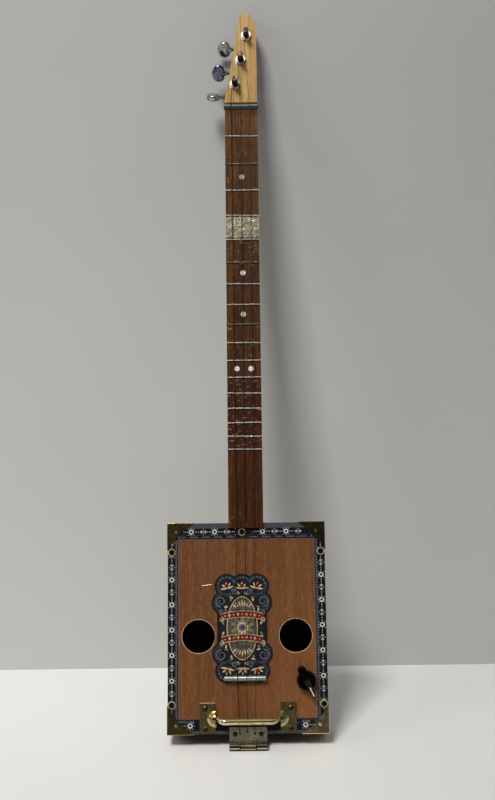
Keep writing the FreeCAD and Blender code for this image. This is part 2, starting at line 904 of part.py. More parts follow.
def hinge_front_leaf():
    """The leaf that stands in front of the box; it carries the middle knuckle."""
    half = hinge_width / 2
    middle = hinge_middle_knuckle / 2
    y1 = hinge_pin_y + hinge_barrel_radius
    y0 = y1 - hinge_sheet
    low = hinge_pin_z + hinge_barrel_radius + hinge_knuckle_gap
    leaf = block(-half, half, y0, y1, low, hinge_pin_z + hinge_leaf_reach)
    root = block(-middle, middle, y0, y1, hinge_pin_z, low)
    leaf = leaf.fuse([root, hinge_knuckle(-middle, middle)])
    cuts = [hinge_pin_bore()]
    for side in (-1, 1):
        start = at(side * hinge_screw_spacing / 2, y0 - overrun, hinge_pin_z + hinge_screw_height())
        cuts.append(rod(hinge_screw_hole_radius, hinge_sheet + 2 * overrun, start, BACK))
    for x, z in string_hole_places():
        cuts.append(rod(string_hole_radius, hinge_sheet + 2 * overrun, at(x, y0 - overrun, z), BACK))
    return leaf.cut(cuts)


def hinge_rear_leaf():
    """The leaf screwed to the end of the neck stick; it carries the outer knuckles."""
    half = hinge_width / 2
    middle = hinge_middle_knuckle / 2 + hinge_knuckle_gap
    z1 = hinge_pin_z + hinge_barrel_radius
    z0 = z1 - hinge_sheet
    near = hinge_pin_y + hinge_barrel_radius + hinge_knuckle_gap
    leaf = block(-half, half, near, hinge_pin_y + hinge_leaf_reach, z0, z1)
    parts = []
    for x0, x1 in [(-half, -middle), (middle, half)]:
        parts.append(block(x0, x1, hinge_pin_y, near, z0, z1))
        parts.append(hinge_knuckle(x0, x1))
    leaf = leaf.fuse(parts)
    cuts = [hinge_pin_bore()]
    for side in (-1, 1):
        start = at(side * hinge_screw_spacing / 2, hinge_pin_y + hinge_screw_height(), z0 - overrun)
        cuts.append(rod(hinge_screw_hole_radius, hinge_sheet + 2 * overrun, start, UP))
    return leaf.cut(cuts)


def hinge_pin():
    return rod(hinge_pin_radius, hinge_width, at(-hinge_width / 2, hinge_pin_y, hinge_pin_z), RIGHT)


def hinge_screw(side, extra):
    """A pan-head screw up into the end of the stick."""
    top = stub_low_z - hinge_sheet
    radius = hinge_screw_radius + extra
    profile = [(0, -hinge_screw_head_height), (hinge_screw_head_radius * 0.8, -hinge_screw_head_height),
               (hinge_screw_head_radius, -hinge_screw_head_height * 0.5), (hinge_screw_head_radius, 0),
               (radius, 0), (radius, hinge_screw_length - radius), (0, hinge_screw_length + extra)]
    place = at(side * hinge_screw_spacing / 2, hinge_pin_y + hinge_screw_height(), top)
    return lathe(profile, place, UP)


# Chest handle

plate_back_y = face_y - paper_thickness
plate_front_y = plate_back_y - plate_thickness


def plate_screw_places():
    x = plate_inner_edge + plate_screw_from_edge
    low = handle_low_z + plate_screw_low
    high = handle_low_z + plate_screw_high
    return [(-x, low), (x, low), (-x, high), (x, high)]


def plate_screw(x, z, extra):
    """A round-head wood screw; its head lies on the plate."""
    radius = plate_screw_radius + extra
    head = plate_screw_head_radius
    high = plate_screw_head_height
    profile = [(0, -high), (head * 0.55, -high * 0.85), (head * 0.9, -high * 0.4), (head, 0),
               (radius, 0), (radius, plate_screw_length - radius), (0, plate_screw_length + extra)]
    return lathe(profile, at(x, plate_front_y, z), BACK)


def plate_screws():
    screws = []
    for index, (x, z) in enumerate(plate_screw_places()):
        front = plate_front_y - plate_screw_head_height
        bar = plate_screw_head_radius * 0.95
        thin = plate_screw_head_radius * 0.12
        deep = plate_screw_head_height * 0.6
        slot = block(x - bar, x + bar, front - overrun, front + deep, z - thin, z + thin)
        slot.rotate(at(x, front, z), BACK, 25 + 40 * index)
        screws.append(plate_screw(x, z, 0).cut(slot))
    return screws


def handle_plate():
    """The right plate, with the half dome stamped into its inner edge."""
    plate = block(plate_inner_edge, plate_inner_edge + plate_width, plate_front_y, plate_back_y,
                  handle_low_z, handle_low_z + plate_height)
    upright = [edge for edge in plate.Edges if abs(edge.tangentAt(edge.FirstParameter).y) > 1 / 2]
    plate = plate.makeFillet(plate_corner_round, upright)
    centre = at(plate_inner_edge, plate_back_y, pivot_z)
    reach = socket_radius + overrun
    keep = block(plate_inner_edge, plate_inner_edge + reach, plate_back_y - reach, plate_back_y,
                 pivot_z - reach, pivot_z + reach)
    dome = Part.makeSphere(socket_radius, centre).common(keep)
    hollow = Part.makeSphere(socket_radius - socket_sheet, centre)
    cuts = [hollow]
    for x, z in plate_screw_places():
        cuts.append(rod(plate_screw_radius + seat_clearance, plate_thickness + 2 * overrun,
                        at(x, plate_front_y - overrun, z), BACK))
    return plate.fuse(dome).removeSplitter().cut(cuts)


def bail_ring(x, share):
    """One round section of the bail; share runs from 0 on the bar to 1 at its neck."""
    ease = (1 - math.cos(math.pi * share)) / 2
    proud = bail_bar_proud + (bail_pivot_proud - bail_bar_proud) * ease
    height = pivot_z - bail_bar_drop * (1 - ease)
    radius = bail_radius + (bail_neck_radius - bail_radius) * share
    slope = math.sin(math.pi * share) * math.pi / 2 / bail_bend_length
    heading = at(1, (bail_bar_proud - bail_pivot_proud) * slope, bail_bar_drop * slope)
    return Part.Wire([Part.Circle(at(x, face_y - proud, height), heading, radius).toShape()])


# Shares of the bar's half length at which its straight sections stand.
bail_section_shares = [0.95, 0.89, 0.77, 0.52, 0.2]


def handle_bail():
    """A round bar whose ends bend back into the sockets and finish in balls."""
    right = [bail_ring(bail_straight_half + bail_bend_length * step / 4, step / 4) for step in range(5)]
    right.append(bail_ring(plate_inner_edge + bail_ball_inset * 0.8, 1))
    left = [ring.mirror(at(0, 0, 0), RIGHT) for ring in reversed(right)]
    straight = [bail_ring(-bail_straight_half * share, 0) for share in bail_section_shares]
    straight += [bail_ring(bail_straight_half * share, 0) for share in reversed(bail_section_shares)]
    bar = Part.makeLoft(left + straight + right, True, False)
    centre = at(plate_inner_edge + bail_ball_inset, face_y - bail_pivot_proud, pivot_z)
    ball = Part.makeSphere(bail_ball_radius, centre)
    return bar.fuse([ball, mirrored(ball)])


# Knob, potentiometer, jack, piezo disc and leads

def knob_frame(u, proud, v):
    """A point of the knob: u towards the nose, v across, proud of the front panel."""
    turn = math.radians(knob_turn_degrees)
    nose = at(math.sin(turn), 0, -math.cos(turn))
    across = at(math.cos(turn), 0, math.sin(turn))
    return at(knob_offset, face_y - proud, knob_z) + nose * u + across * v


def knob_plan(radius_tail, radius_nose, bottom, top):
    """The ridge seen from the front: two round ends joined by straight sides."""
    tail_u = -knob_tail_reach + radius_tail
    nose_u = knob_nose_reach - radius_nose
    lean = math.asin((radius_tail - radius_nose) / (nose_u - tail_u))
    ends = []
    for u, radius in [(tail_u, radius_tail), (nose_u, radius_nose)]:
        ends.append((u + radius * math.sin(lean), radius * math.cos(lean)))
    upper_tail = knob_frame(ends[0][0], bottom, ends[0][1])
    upper_nose = knob_frame(ends[1][0], bottom, ends[1][1])
    lower_tail = knob_frame(ends[0][0], bottom, -ends[0][1])
    lower_nose = knob_frame(ends[1][0], bottom, -ends[1][1])
    tail = knob_frame(-knob_tail_reach, bottom, 0)
    nose = knob_frame(knob_nose_reach, bottom, 0)
    edges = [Part.LineSegment(upper_tail, upper_nose).toShape(),
             Part.Arc(upper_nose, nose, lower_nose).toShape(),
             Part.LineSegment(lower_nose, lower_tail).toShape(),
             Part.Arc(lower_tail, tail, upper_tail).toShape()]
    return Part.Face(Part.Wire(edges)).extrude(FRONT * (top - bottom))


def knob_side_profile():
    """The ridge seen from the side: a crown over the tail, then a straight fall to the nose."""
    top = knob_lift + knob_height
    width = 2 * (knob_tail_radius + overrun)
    v = -width / 2
    low_tail = knob_frame(-knob_tail_reach - overrun, knob_lift, v)
    high_tail = knob_frame(-knob_tail_reach - overrun, top - knob_crown, v)
    crest = knob_frame(-knob_tail_reach / 2, top, v)
    shoulder = knob_frame(0, top - knob_crown / 4, v)
    fall = knob_nose_drop * (knob_nose_reach + overrun) / knob_nose_reach
    high_nose = knob_frame(knob_nose_reach + overrun, top - fall, v)
    low_nose = knob_frame(knob_nose_reach + overrun, knob_lift + knob_nose_lift, v)
    low_mid = knob_frame(knob_skirt_radius, knob_lift, v)
    edges = [Part.LineSegment(low_tail, high_tail).toShape(), Part.Arc(high_tail, crest, shoulder).toShape(),
             Part.LineSegment(shoulder, high_nose).toShape(), Part.LineSegment(high_nose, low_nose).toShape(),
             Part.LineSegment(low_nose, low_mid).toShape(), Part.LineSegment(low_mid, low_tail).toShape()]
    across = knob_frame(0, 0, 1) - knob_frame(0, 0, 0)
    return Part.Face(Part.Wire(edges)).extrude(across * width)


def pointer_line():
    """The white line let into the falling top of the ridge."""
    top = knob_lift + knob_height - knob_crown / 4
    fall = (knob_nose_drop - knob_crown / 4) / knob_nose_reach
    points = []
    for u, deep in [(pointer_start, 0), (pointer_start + pointer_length, 0),
                    (pointer_start + pointer_length, pointer_depth), (pointer_start, pointer_depth)]:
        points.append(knob_frame(u, top - fall * u - deep, -pointer_width / 2))
    across = knob_frame(0, 0, 1) - knob_frame(0, 0, 0)
    return prism(points, across * pointer_width)


def set_screw(extra):
    """The small screw that grips the shaft from the tail's side."""
    start = knob_frame(-pot_shaft_radius - seat_clearance, knob_lift + set_screw_height, 0)
    outward = knob_frame(-1, 0, 0) - knob_frame(0, 0, 0)
    return rod(set_screw_radius + extra, set_screw_length + extra, start, outward)


def volume_knob():
    skirt_top = knob_lift + knob_skirt_height
    skirt_profile = [(0, knob_lift), (knob_skirt_radius, knob_lift),
                     (knob_skirt_radius, knob_lift + knob_crown),
                     (knob_skirt_top_radius, skirt_top), (0, skirt_top)]
    skirt = lathe(skirt_profile, knob_frame(0, 0, 0), FRONT)
    ridge = knob_plan(knob_tail_radius, knob_nose_radius, knob_lift, knob_lift + knob_height)
    ridge = ridge.common(knob_side_profile())
    floor = knob_frame(0, knob_lift - overrun, 0)
    cavity = rod(knob_cavity_radius, knob_cavity_depth + overrun, floor, FRONT)
    bore_length = pot_shaft_proud + seat_clearance - knob_lift + overrun
    bore = rod(pot_shaft_radius + seat_clearance, bore_length, floor, FRONT)
    tunnel_start = knob_frame(0, knob_lift + set_screw_height, 0)
    outward = knob_frame(-1, 0, 0) - knob_frame(0, 0, 0)
    tunnel = rod(set_screw_radius + seat_clearance, knob_tail_reach + overrun, tunnel_start, outward)
    return skirt.fuse(ridge).removeSplitter().cut([cavity, bore, tunnel, pointer_line()])


def pot_case():
    """Case, threaded bushing and three lugs."""
    back = rod(pot_case_radius, pot_case_depth, at(knob_offset, panel_back_y, knob_z), BACK)
    bushing = rod(pot_bushing_radius, panel_thickness + pot_bushing_proud,
                  at(knob_offset, face_y - pot_bushing_proud, knob_z), BACK)
    parts = [bushing]
    for index in (-1, 0, 1):
        x = knob_offset + index * pot_lug_pitch
        y = panel_back_y + pot_case_depth / 2
        low = knob_z - pot_case_radius - pot_lug_length
        parts.append(block(x - pot_lug_width / 2, x + pot_lug_width / 2, y - pot_lug_thickness / 2,
                           y + pot_lug_thickness / 2, low, knob_z - pot_case_radius / 2))
    bore_length = panel_thickness + pot_bushing_proud + pot_shaft_sunk + part_gap + overrun
    bore = rod(pot_shaft_radius + running_clearance, bore_length,
               at(knob_offset, face_y - pot_bushing_proud - overrun, knob_z), BACK)
    return back.fuse(parts).removeSplitter().cut(bore)


def pot_shaft():
    length = pot_shaft_proud + panel_thickness + pot_shaft_sunk
    return rod(pot_shaft_radius, length, at(knob_offset, face_y - pot_shaft_proud, knob_z), BACK)


def pot_nut():
    nut = hexagon(pot_nut_flats, pot_nut_height, at(knob_offset, face_y, knob_z), FRONT)
    bore = rod(pot_bushing_radius + seat_clearance, pot_nut_height + 2 * overrun,
               at(knob_offset, face_y - pot_nut_height - overrun, knob_z), BACK)
    return nut.cut(bore)


def jack_place(z):
    return at(jack_offset, face_y + jack_depth, z)


def jack_body():
    """Threaded sleeve with a square flange inside the tail wall, and its contact spring."""
    inside = box_low_z + wall_thickness
    low = box_low_z - jack_sleeve_proud
    sleeve = rod(jack_sleeve_radius, inside - low, jack_place(low), UP)
    half = jack_flange_size / 2
    place = jack_place(inside)
    flange = block(place.x - half, place.x + half, place.y - half, place.y + half,
                   inside, inside + jack_flange_thickness)
    bore_length = inside - low + jack_flange_thickness + 2 * overrun
    bore = rod(plug_bore_radius, bore_length, jack_place(low - overrun), UP)
    frame = sleeve.fuse(flange).removeSplitter().cut(bore)
    top = inside + jack_flange_thickness
    arm_x = place.x + jack_arm_offset
    half_arm = jack_arm_width / 2
    arm = block(arm_x, arm_x + jack_arm_thickness, place.y - half_arm, place.y + half_arm,
                top, top + jack_arm_length)
    hook = block(arm_x - jack_arm_offset / 2, arm_x, place.y - half_arm, place.y + half_arm,
                 top + jack_arm_length - jack_arm_thickness, top + jack_arm_length)
    return frame.fuse([arm, hook]).removeSplitter()


def jack_nut():
    nut = hexagon(jack_nut_flats, jack_nut_height, jack_place(box_low_z), DOWN)
    bore = rod(jack_sleeve_radius + seat_clearance, jack_nut_height + 2 * overrun,
               jack_place(box_low_z - jack_nut_height - overrun), UP)
    return nut.cut(bore)


def piezo_disc():
    """Brass disc glued behind the front panel, with the ceramic disc on its back."""
    place = at(piezo_offset, panel_back_y, box_low_z + piezo_above_box)
    brass = rod(piezo_radius, piezo_thickness, place, BACK)
    ceramic = rod(ceramic_radius, ceramic_thickness, place + BACK * piezo_thickness, BACK)
    return group([brass, ceramic])


def leads():
    """Two insulated leads: piezo disc to potentiometer, and potentiometer to jack."""
    piezo_back = panel_back_y + piezo_thickness + ceramic_thickness
    piezo_z = box_low_z + piezo_above_box
    lug_low = knob_z - pot_case_radius - pot_lug_length
    lug_y = panel_back_y + pot_case_depth / 2
    left_lug = knob_offset - pot_lug_pitch
    right_lug = knob_offset + pot_lug_pitch
    bends = [lead_bend_radius, lead_bend_radius]
    first = [at(piezo_offset, piezo_back, piezo_z), at(piezo_offset, piezo_back + lead_stub, piezo_z),
             at(left_lug, lug_y, lug_low - lead_stub), at(left_lug, lug_y, lug_low)]
    arm_top = box_low_z + wall_thickness + jack_flange_thickness + jack_arm_length
    arm = jack_place(arm_top) + RIGHT * (jack_arm_offset + jack_arm_thickness / 2)
    second = [at(right_lug, lug_y, lug_low), at(right_lug, lug_y, lug_low - lead_stub),
              arm + UP * lead_stub, arm]
    return [tube(rounded_path(points, bends), lead_radius) for points in (first, second)]


# Strings

def wrap_radius(index):
    return post_radius + seat_clearance + string_diameters[index] / 2


def wrap_start(index):
    """Where the lowest turn of a winding begins, on the post's axis."""
    place = tuner_places()[index]
    lift = washer_thickness + bushing_head_height + part_gap + string_diameters[index] / 2
    return at(place.x, headstock_face_y - lift, place.z)


def string_end(index):
    """A string stops just clear of the circle that its own winding sweeps."""
    radius = wrap_radius(index)
    half = string_diameters[index] / 2
    swept = math.hypot(radius, 2 * half) + half + part_gap
    drop = math.sqrt(swept * swept - (radius - half) ** 2)
    return wrap_start(index) + at(-radius, 0, -drop - half)


def string(index):
    """One string from its ball end, through the hinge leaf, over bridge and nut to its post."""
    half = string_diameters[index] / 2
    x_tail, z_tail = string_hole_places()[index]
    x_bridge = string_centre_offset + (index - 1) * string_spacing_at_bridge
    x_nut = string_centre_offset + (index - 1) * string_spacing_at_nut
    leaf_back = hinge_pin_y + hinge_barrel_radius
    leaf_front = leaf_back - hinge_sheet
    ball = at(x_tail, leaf_back + ball_radius, z_tail)
    over = rod_radius + half + seat_clearance
    points = [ball, at(x_tail, leaf_front - half - string_lift, z_tail),
              at(x_bridge, bridge_rod_y - over, bridge_z), at(x_nut, nut_rod_y - over, nut_z),
              string_end(index)]
    radii = [string_bend_radius, over, over]
    wire = tube(rounded_path(points, radii), half)
    end = lathe([(0, -ball_radius), (ball_radius * 0.8, -ball_radius), (ball_radius, -ball_radius * 0.7),
                 (ball_radius * 0.7, 0), (ball_radius, ball_radius * 0.7), (ball_radius * 0.8, ball_radius),
                 (0, ball_radius)], ball, RIGHT)
    return wire.fuse(end).removeSplitter()


def string_wrap(index):
    """The turns of a string on its post, in one unbroken wire."""
    diameter = string_diameters[index]
    pitch = diameter + wrap_gap
    radius = wrap_radius(index)
    path = coil_path(wrap_start(index), radius, pitch, wrap_turns, diameter)
    gap = least_gap(wrap_start(index), radius, pitch, wrap_turns, diameter)
    print("string wrap", index + 1, "least gap", round(gap, 3))
    return tube(path, diameter / 2)


# Tuners

def tuner_places():
    """The posts' axes on the headstock's face, from the nut upwards."""
    return [at(tuner_first_offset + step * tuner_step_across, headstock_face_y,
               nut_z + tuner_first_rise + step * tuner_pitch) for step in range(3)]


base_back_y = headstock_back_y + base_plate_thickness
gear_front_y = base_back_y + gear_setback
gear_middle_y = gear_front_y + gear_thickness / 2
gear_back_y = gear_front_y + gear_thickness


def housing_blank(place, y0, depth):
    """The housing's outline: a round over the gear and a block over the worm."""
    gear_part = rod(housing_radius, depth, at(place.x, y0, place.z), BACK)
    worm_part = block(place.x - housing_left, place.x + housing_right, y0, y0 + depth,
                      place.z - housing_drop, place.z)
    return gear_part.fuse(worm_part).removeSplitter()


def tuner_housing(place):
    blank = housing_blank(place, base_back_y, housing_depth)
    rim_y = base_back_y + housing_depth
    rim = [edge for edge in blank.Edges if abs(edge.CenterOfMass.y - rim_y) < seat_clearance]
    blank = blank.makeFillet(housing_round, rim)
    axis = at(place.x, gear_middle_y, place.z - worm_offset)
    well_radius = worm_core_radius + worm_thread_rise + worm_thread_radius + gear_float
    cuts = [rod(gear_radius + gear_float, gear_back_y + gear_float - base_back_y + overrun,
                at(place.x, base_back_y - overrun, place.z), BACK),
            rod(pivot_radius + running_clearance, pivot_length + gear_float,
                at(place.x, gear_back_y, place.z), BACK),
            rod(well_radius, 2 * worm_well_half_length, axis + LEFT * worm_well_half_length, RIGHT),
            rod(worm_core_radius + running_clearance, worm_well_half_length + worm_pivot_length, axis, RIGHT),
            rod(worm_shaft_radius + running_clearance, housing_left + overrun, axis, LEFT)]
    return blank.cut(cuts)


def base_plate(place):
    """The plate between housing and headstock, with the ear for the mounting screw."""
    plate = housing_blank(place, headstock_back_y, base_plate_thickness)
    ear_x = place.x + ear_offset
    ear_z = place.z - ear_drop
    ear = rod(ear_radius, base_plate_thickness, at(ear_x, headstock_back_y, ear_z), BACK)
    web = block(ear_x - ear_radius, ear_x + ear_radius, headstock_back_y, base_back_y,
                ear_z, place.z - housing_drop + overrun)
    start_y = headstock_back_y - overrun
    through = base_plate_thickness + 2 * overrun
    cuts = [rod(post_radius + running_clearance, through, at(place.x, start_y, place.z), BACK),
            rod(ear_screw_radius + seat_clearance, through, at(ear_x, start_y, ear_z), BACK)]
    return plate.fuse([ear, web]).removeSplitter().cut(cuts)


def ear_screw(place, extra):
    radius = ear_screw_radius + extra
    head = ear_screw_head_radius
    high = ear_screw_head_height
    profile = [(0, -high), (head * 0.6, -high * 0.85), (head, -high * 0.3), (head, 0), (radius, 0),
               (radius, ear_screw_length - radius), (0, ear_screw_length + extra)]
    return lathe(profile, at(place.x + ear_offset, base_back_y, place.z - ear_drop), FRONT)


def tuner_bushing(place):
    """Threaded sleeve with a hexagonal head that clamps the housing through the headstock."""
    seat = at(place.x, headstock_face_y - washer_thickness, place.z)
    head = hexagon(bushing_flats, bushing_head_height, seat, FRONT)
    sleeve = rod(headstock_bore_radius - seat_clearance, bushing_length + washer_thickness, seat, BACK)
    bore_start = at(place.x, headstock_face_y - washer_thickness - bushing_head_height - overrun, place.z)
    bore_length = bushing_head_height + bushing_length + washer_thickness + 2 * overrun
    bore = rod(post_radius + running_clearance, bore_length, bore_start, BACK)
    corner = bushing_flats / math.sqrt(3)
    round_off = lathe([(0, 0), (bushing_flats / 2 * 0.98, 0), (corner, bushing_head_height * 0.3),
                       (corner, 2 * bushing_length), (0, 2 * bushing_length)],
                      seat + FRONT * bushing_head_height, BACK)
    return head.fuse(sleeve).common(round_off).removeSplitter().cut(bore)


def tuner_washer(place):
    washer = rod(washer_radius, washer_thickness, place + FRONT * washer_thickness, BACK)
    bore = rod(headstock_bore_radius, washer_thickness + 2 * overrun,
               place + FRONT * (washer_thickness + overrun), BACK)
    return washer.cut(bore)


def gear_blank(centre):
    """A toothed wheel whose axis is Y."""
    points = []
    step = 2 * math.pi / gear_teeth
    for tooth in range(gear_teeth):
        middle = tooth * step
        for offset_share, radius in [(-0.36, gear_root_radius), (-0.16, gear_radius),
                                     (0.16, gear_radius), (0.36, gear_root_radius)]:
            angle = middle + offset_share * step
            points.append(centre + at(radius * math.cos(angle), 0, radius * math.sin(angle)))
    return prism(points, BACK * gear_thickness)


def tuner_post(place):
    """Post, thrust collar, gear and rear pivot in one, with a cross hole for the string."""
    tip = post_height
    foot = -(headstock_thickness + base_plate_thickness + gear_setback)
    collar_top = foot + gear_setback - gear_float
    profile = [(0, foot), (thrust_collar_radius, foot), (thrust_collar_radius, collar_top),
               (post_radius, collar_top), (post_radius, post_waist_low),
               (post_waist_radius, post_hole_height),
               (post_radius, post_waist_high), (post_radius, tip - post_chamfer),
               (post_radius - post_chamfer, tip), (0, tip)]
    shaft = lathe(profile, place, FRONT)
    gear = gear_blank(at(place.x, gear_front_y, place.z))
    pivot = rod(pivot_radius, gear_thickness + pivot_length, at(place.x, gear_front_y, place.z), BACK)
    hole_length = 2 * (post_radius + overrun)
    hole = rod(post_hole_radius, hole_length,
               at(place.x - hole_length / 2, headstock_face_y - post_hole_height, place.z), RIGHT)
    return shaft.fuse([gear, pivot]).removeSplitter().cut(hole)


def tuner_worm(place):
    """Worm, its shaft and the end that the button grips."""
    axis = at(place.x, gear_middle_y, place.z - worm_offset)
    core_end = worm_well_half_length + worm_pivot_length - part_gap / 2
    core = rod(worm_core_radius, worm_half_length + core_end, axis + LEFT * worm_half_length, RIGHT)
    shaft_end = button_reach - button_length / 2 + button_socket_depth
    shaft = rod(worm_shaft_radius, shaft_end - worm_half_length, axis + LEFT * shaft_end, RIGHT)
    thread_radius = worm_core_radius + worm_thread_rise
    pitch = math.pi * (gear_radius + gear_root_radius) / gear_teeth
    span = pitch * worm_thread_turns
    thread = tube(coil_path(at(0, span / 2, 0), thread_radius, pitch, worm_thread_turns,
                            worm_thread_radius / 2), worm_thread_radius)
    thread.rotate(at(0, 0, 0), UP, -90)
    thread.translate(axis)
    return core.fuse([shaft, thread]).removeSplitter()


# Shares of a button's length from its shaft outwards, and of its width across.
button_outline_shares = [(0.07, 0), (0, 0.2), (0.12, 0.41), (0.45, 0.5), (0.82, 0.38), (1, 0),
                         (0.82, -0.38), (0.45, -0.5), (0.12, -0.41), (0, -0.2)]


def tuner_button(place, turn):
    """A kidney-shaped button with a short stem, screwed to the worm's shaft."""
    axis = at(place.x, gear_middle_y, place.z - worm_offset)
    inner = axis + LEFT * (button_reach - button_length / 2)
    points = [inner + at(-button_length * along, button_thickness / 2, button_width * across)
              for along, across in button_outline_shares]
    outline = Part.BSplineCurve()
    outline.interpolate(points, PeriodicFlag=True)
    plate = Part.Face(Part.Wire([outline.toShape()])).extrude(FRONT * button_thickness)
    rims = [edge for edge in plate.Edges if edge.isClosed()]
    plate = plate.makeFillet(button_edge_round, rims)
    stem = rod(button_stem_radius, button_stem_length + button_length / 2,
               inner + RIGHT * button_stem_length, LEFT)
    socket = rod(worm_shaft_radius + seat_clearance, button_stem_length + button_socket_depth + overrun,
                 inner + RIGHT * (button_stem_length + overrun), LEFT)
    outer = axis + LEFT * (button_reach + button_length / 2)
    screw_length = button_length - button_socket_depth - overrun
    hole = rod(button_screw_radius + seat_clearance, screw_length + overrun, outer + LEFT * overrun, RIGHT)
    seat = rod(button_screw_head_radius + joint_clearance, button_screw_head_height + overrun,
               outer + LEFT * overrun, RIGHT)
    button = plate.fuse(stem).removeSplitter().cut([socket, hole, seat])
    screw = rod(button_screw_radius, screw_length, outer, RIGHT)
    screw = screw.fuse(rod(button_screw_head_radius, button_screw_head_height, outer, RIGHT)).removeSplitter()
    for piece in (button, screw):
        piece.rotate(axis, RIGHT, turn)
    return group([button, screw])


def build():
    os.makedirs("parts", exist_ok=True)
    places = tuner_places()
    save("neck", neck())
    save("fretboard", fretboard())
    save("frets", group(fret_wires(fret_wire_diameter / 2)))
    save("position_dots", group(position_dots()))
    save("fifth_fret_plate", foil_plate())
    save("nut_rod", rod_with_chamfers(nut_rod_length, 0, nut_rod_y, nut_z))
    save("bridge_rod", rod_with_chamfers(bridge_rod_length, bridge_offset, bridge_rod_y, bridge_z))
    save("box_left_wall", side_wall(-1))
    save("box_right_wall", side_wall(1))
    save("box_neck_wall", neck_wall())
    save("box_tail_wall", tail_wall())
    save("back_panel", back_panel())
    save("front_panel", front_panel())
    save("border_paper", border_paper())
    save("face_label", face_label())
    save("face_staple", staple(0))
    save("box_corners", group(box_corners()))
    save("corner_nails", group(nails(0)))
    save("panel_screws", group(panel_screws()))
    save("panel_cup_washers", group(cup_washers()))
    save("tail_hinge_front_leaf", hinge_front_leaf())
    save("tail_hinge_rear_leaf", hinge_rear_leaf())
    save("tail_hinge_pin", hinge_pin())
    save("tail_hinge_screws", group([hinge_screw(side, 0) for side in (-1, 1)]))
    plate = handle_plate()
    save("handle_plate_right", plate)
    save("handle_plate_left", mirrored(plate))
    save("handle_screws", group(plate_screws()))
    save("handle_bail", handle_bail())
    save("volume_knob", volume_knob())
    save("knob_pointer_line", pointer_line())
    save("knob_set_screw", set_screw(0))
    save("volume_pot_case", pot_case())
    save("volume_pot_shaft", pot_shaft())
    save("volume_pot_nut", pot_nut())
    save("piezo_disc", piezo_disc())
    save("output_jack", jack_body())
    save("output_jack_nut", jack_nut())
    save("internal_leads", group(leads()))
    for index, name in enumerate(["string_bass", "string_middle", "string_treble"]):
        save(name, string(index))
    save("tuner_base_plates", group([base_plate(place) for place in places]))
    save("tuner_bushings", group([tuner_bushing(place) for place in places]))
    save("tuner_washers", group([tuner_washer(place) for place in places]))
    save("tuner_mount_screws", group([ear_screw(place, 0) for place in places]))
    for index, place in enumerate(places):
        number = str(index + 1)
        save("tuner_housing_" + number, tuner_housing(place))
        save("tuner_post_" + number, tuner_post(place))
        save("tuner_worm_" + number, tuner_worm(place))
        save("tuner_button_" + number, tuner_button(place, button_turn_degrees[index]))
        save("string_wrap_" + number, string_wrap(index))


build()
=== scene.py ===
import math
import bpy
from mathutils import Matrix, Vector, noise


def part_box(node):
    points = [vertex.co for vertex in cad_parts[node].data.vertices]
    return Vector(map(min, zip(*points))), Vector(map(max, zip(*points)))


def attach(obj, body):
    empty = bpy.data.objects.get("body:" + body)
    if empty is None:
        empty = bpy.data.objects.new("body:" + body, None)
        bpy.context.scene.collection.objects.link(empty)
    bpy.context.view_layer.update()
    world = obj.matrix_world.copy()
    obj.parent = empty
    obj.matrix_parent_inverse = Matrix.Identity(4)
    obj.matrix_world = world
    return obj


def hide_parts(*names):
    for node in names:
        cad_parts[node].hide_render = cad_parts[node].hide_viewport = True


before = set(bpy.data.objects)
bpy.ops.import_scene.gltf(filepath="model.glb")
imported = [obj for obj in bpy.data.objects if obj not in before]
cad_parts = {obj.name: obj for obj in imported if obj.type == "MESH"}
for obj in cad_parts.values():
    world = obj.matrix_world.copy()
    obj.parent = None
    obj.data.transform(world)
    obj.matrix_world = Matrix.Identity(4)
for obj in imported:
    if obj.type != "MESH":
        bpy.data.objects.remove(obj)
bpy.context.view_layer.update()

mm = 0.001


# Neck stick and headstock: one length of pale softwood, sawn to a point at the top and
# planed at the back, sanded and rubbed with a little oil. It runs on through the box.
def rgb(red, green, blue):
    """A colour as a paint chart gives it, turned into light values."""
    values = []
    for part in (red, green, blue):
        part = part / 255
        values.append(part / 12.92 if part <= 0.04045 else ((part + 0.055) / 1.055) ** 2.4)
    return (*values, 1)


def put(tree, kind, feeds=(), **settings):
    """Adds a node. feeds gives its inputs: a number, a colour or another node's output."""
    made = tree.nodes.new(kind)
    for setting, value in settings.items():
        setattr(made, setting, value)
    for socket, value in dict(feeds).items():
        if isinstance(value, bpy.types.NodeSocket):
            tree.links.new(value, made.inputs[socket])
        else:
            made.inputs[socket].default_value = value
    return made


def reckon(tree, step, *numbers):
    """One sum on one, two or three numbers or outputs."""
    return put(tree, "ShaderNodeMath", dict(enumerate(numbers)), operation=step).outputs[0]


def ease(tree, value, low, high, start=0.0, end=1.0):
    """A soft step of value between low and high."""
    feeds = {"Value": value, "From Min": low, "From Max": high, "To Min": start, "To Max": end}
    made = put(tree, "ShaderNodeMapRange", feeds, interpolation_type="SMOOTHSTEP")
    return made.outputs["Result"]


def times(tree, first, second):
    """One value times another: two masks together, or a share of a mask."""
    return reckon(tree, "MULTIPLY", first, second)


def near(tree, value, middle, half):
    """One where value lies within half of the middle, otherwise nothing."""
    return reckon(tree, "COMPARE", value, middle, half)


def speckle(tree, place, scale, detail=2.0, distortion=0.0):
    """A cloudy pattern with scale lumps to the metre."""
    feeds = {"Vector": place, "Scale": scale, "Detail": detail, "Distortion": distortion}
    return put(tree, "ShaderNodeTexNoise", feeds).outputs["Fac"]


def stretch(tree, place, scale, turn=(0, 0, 0)):
    """The place with its axes stretched, for a pattern that runs one way."""
    feeds = {"Vector": place, "Scale": scale, "Rotation": turn}
    return put(tree, "ShaderNodeMapping", feeds).outputs[0]


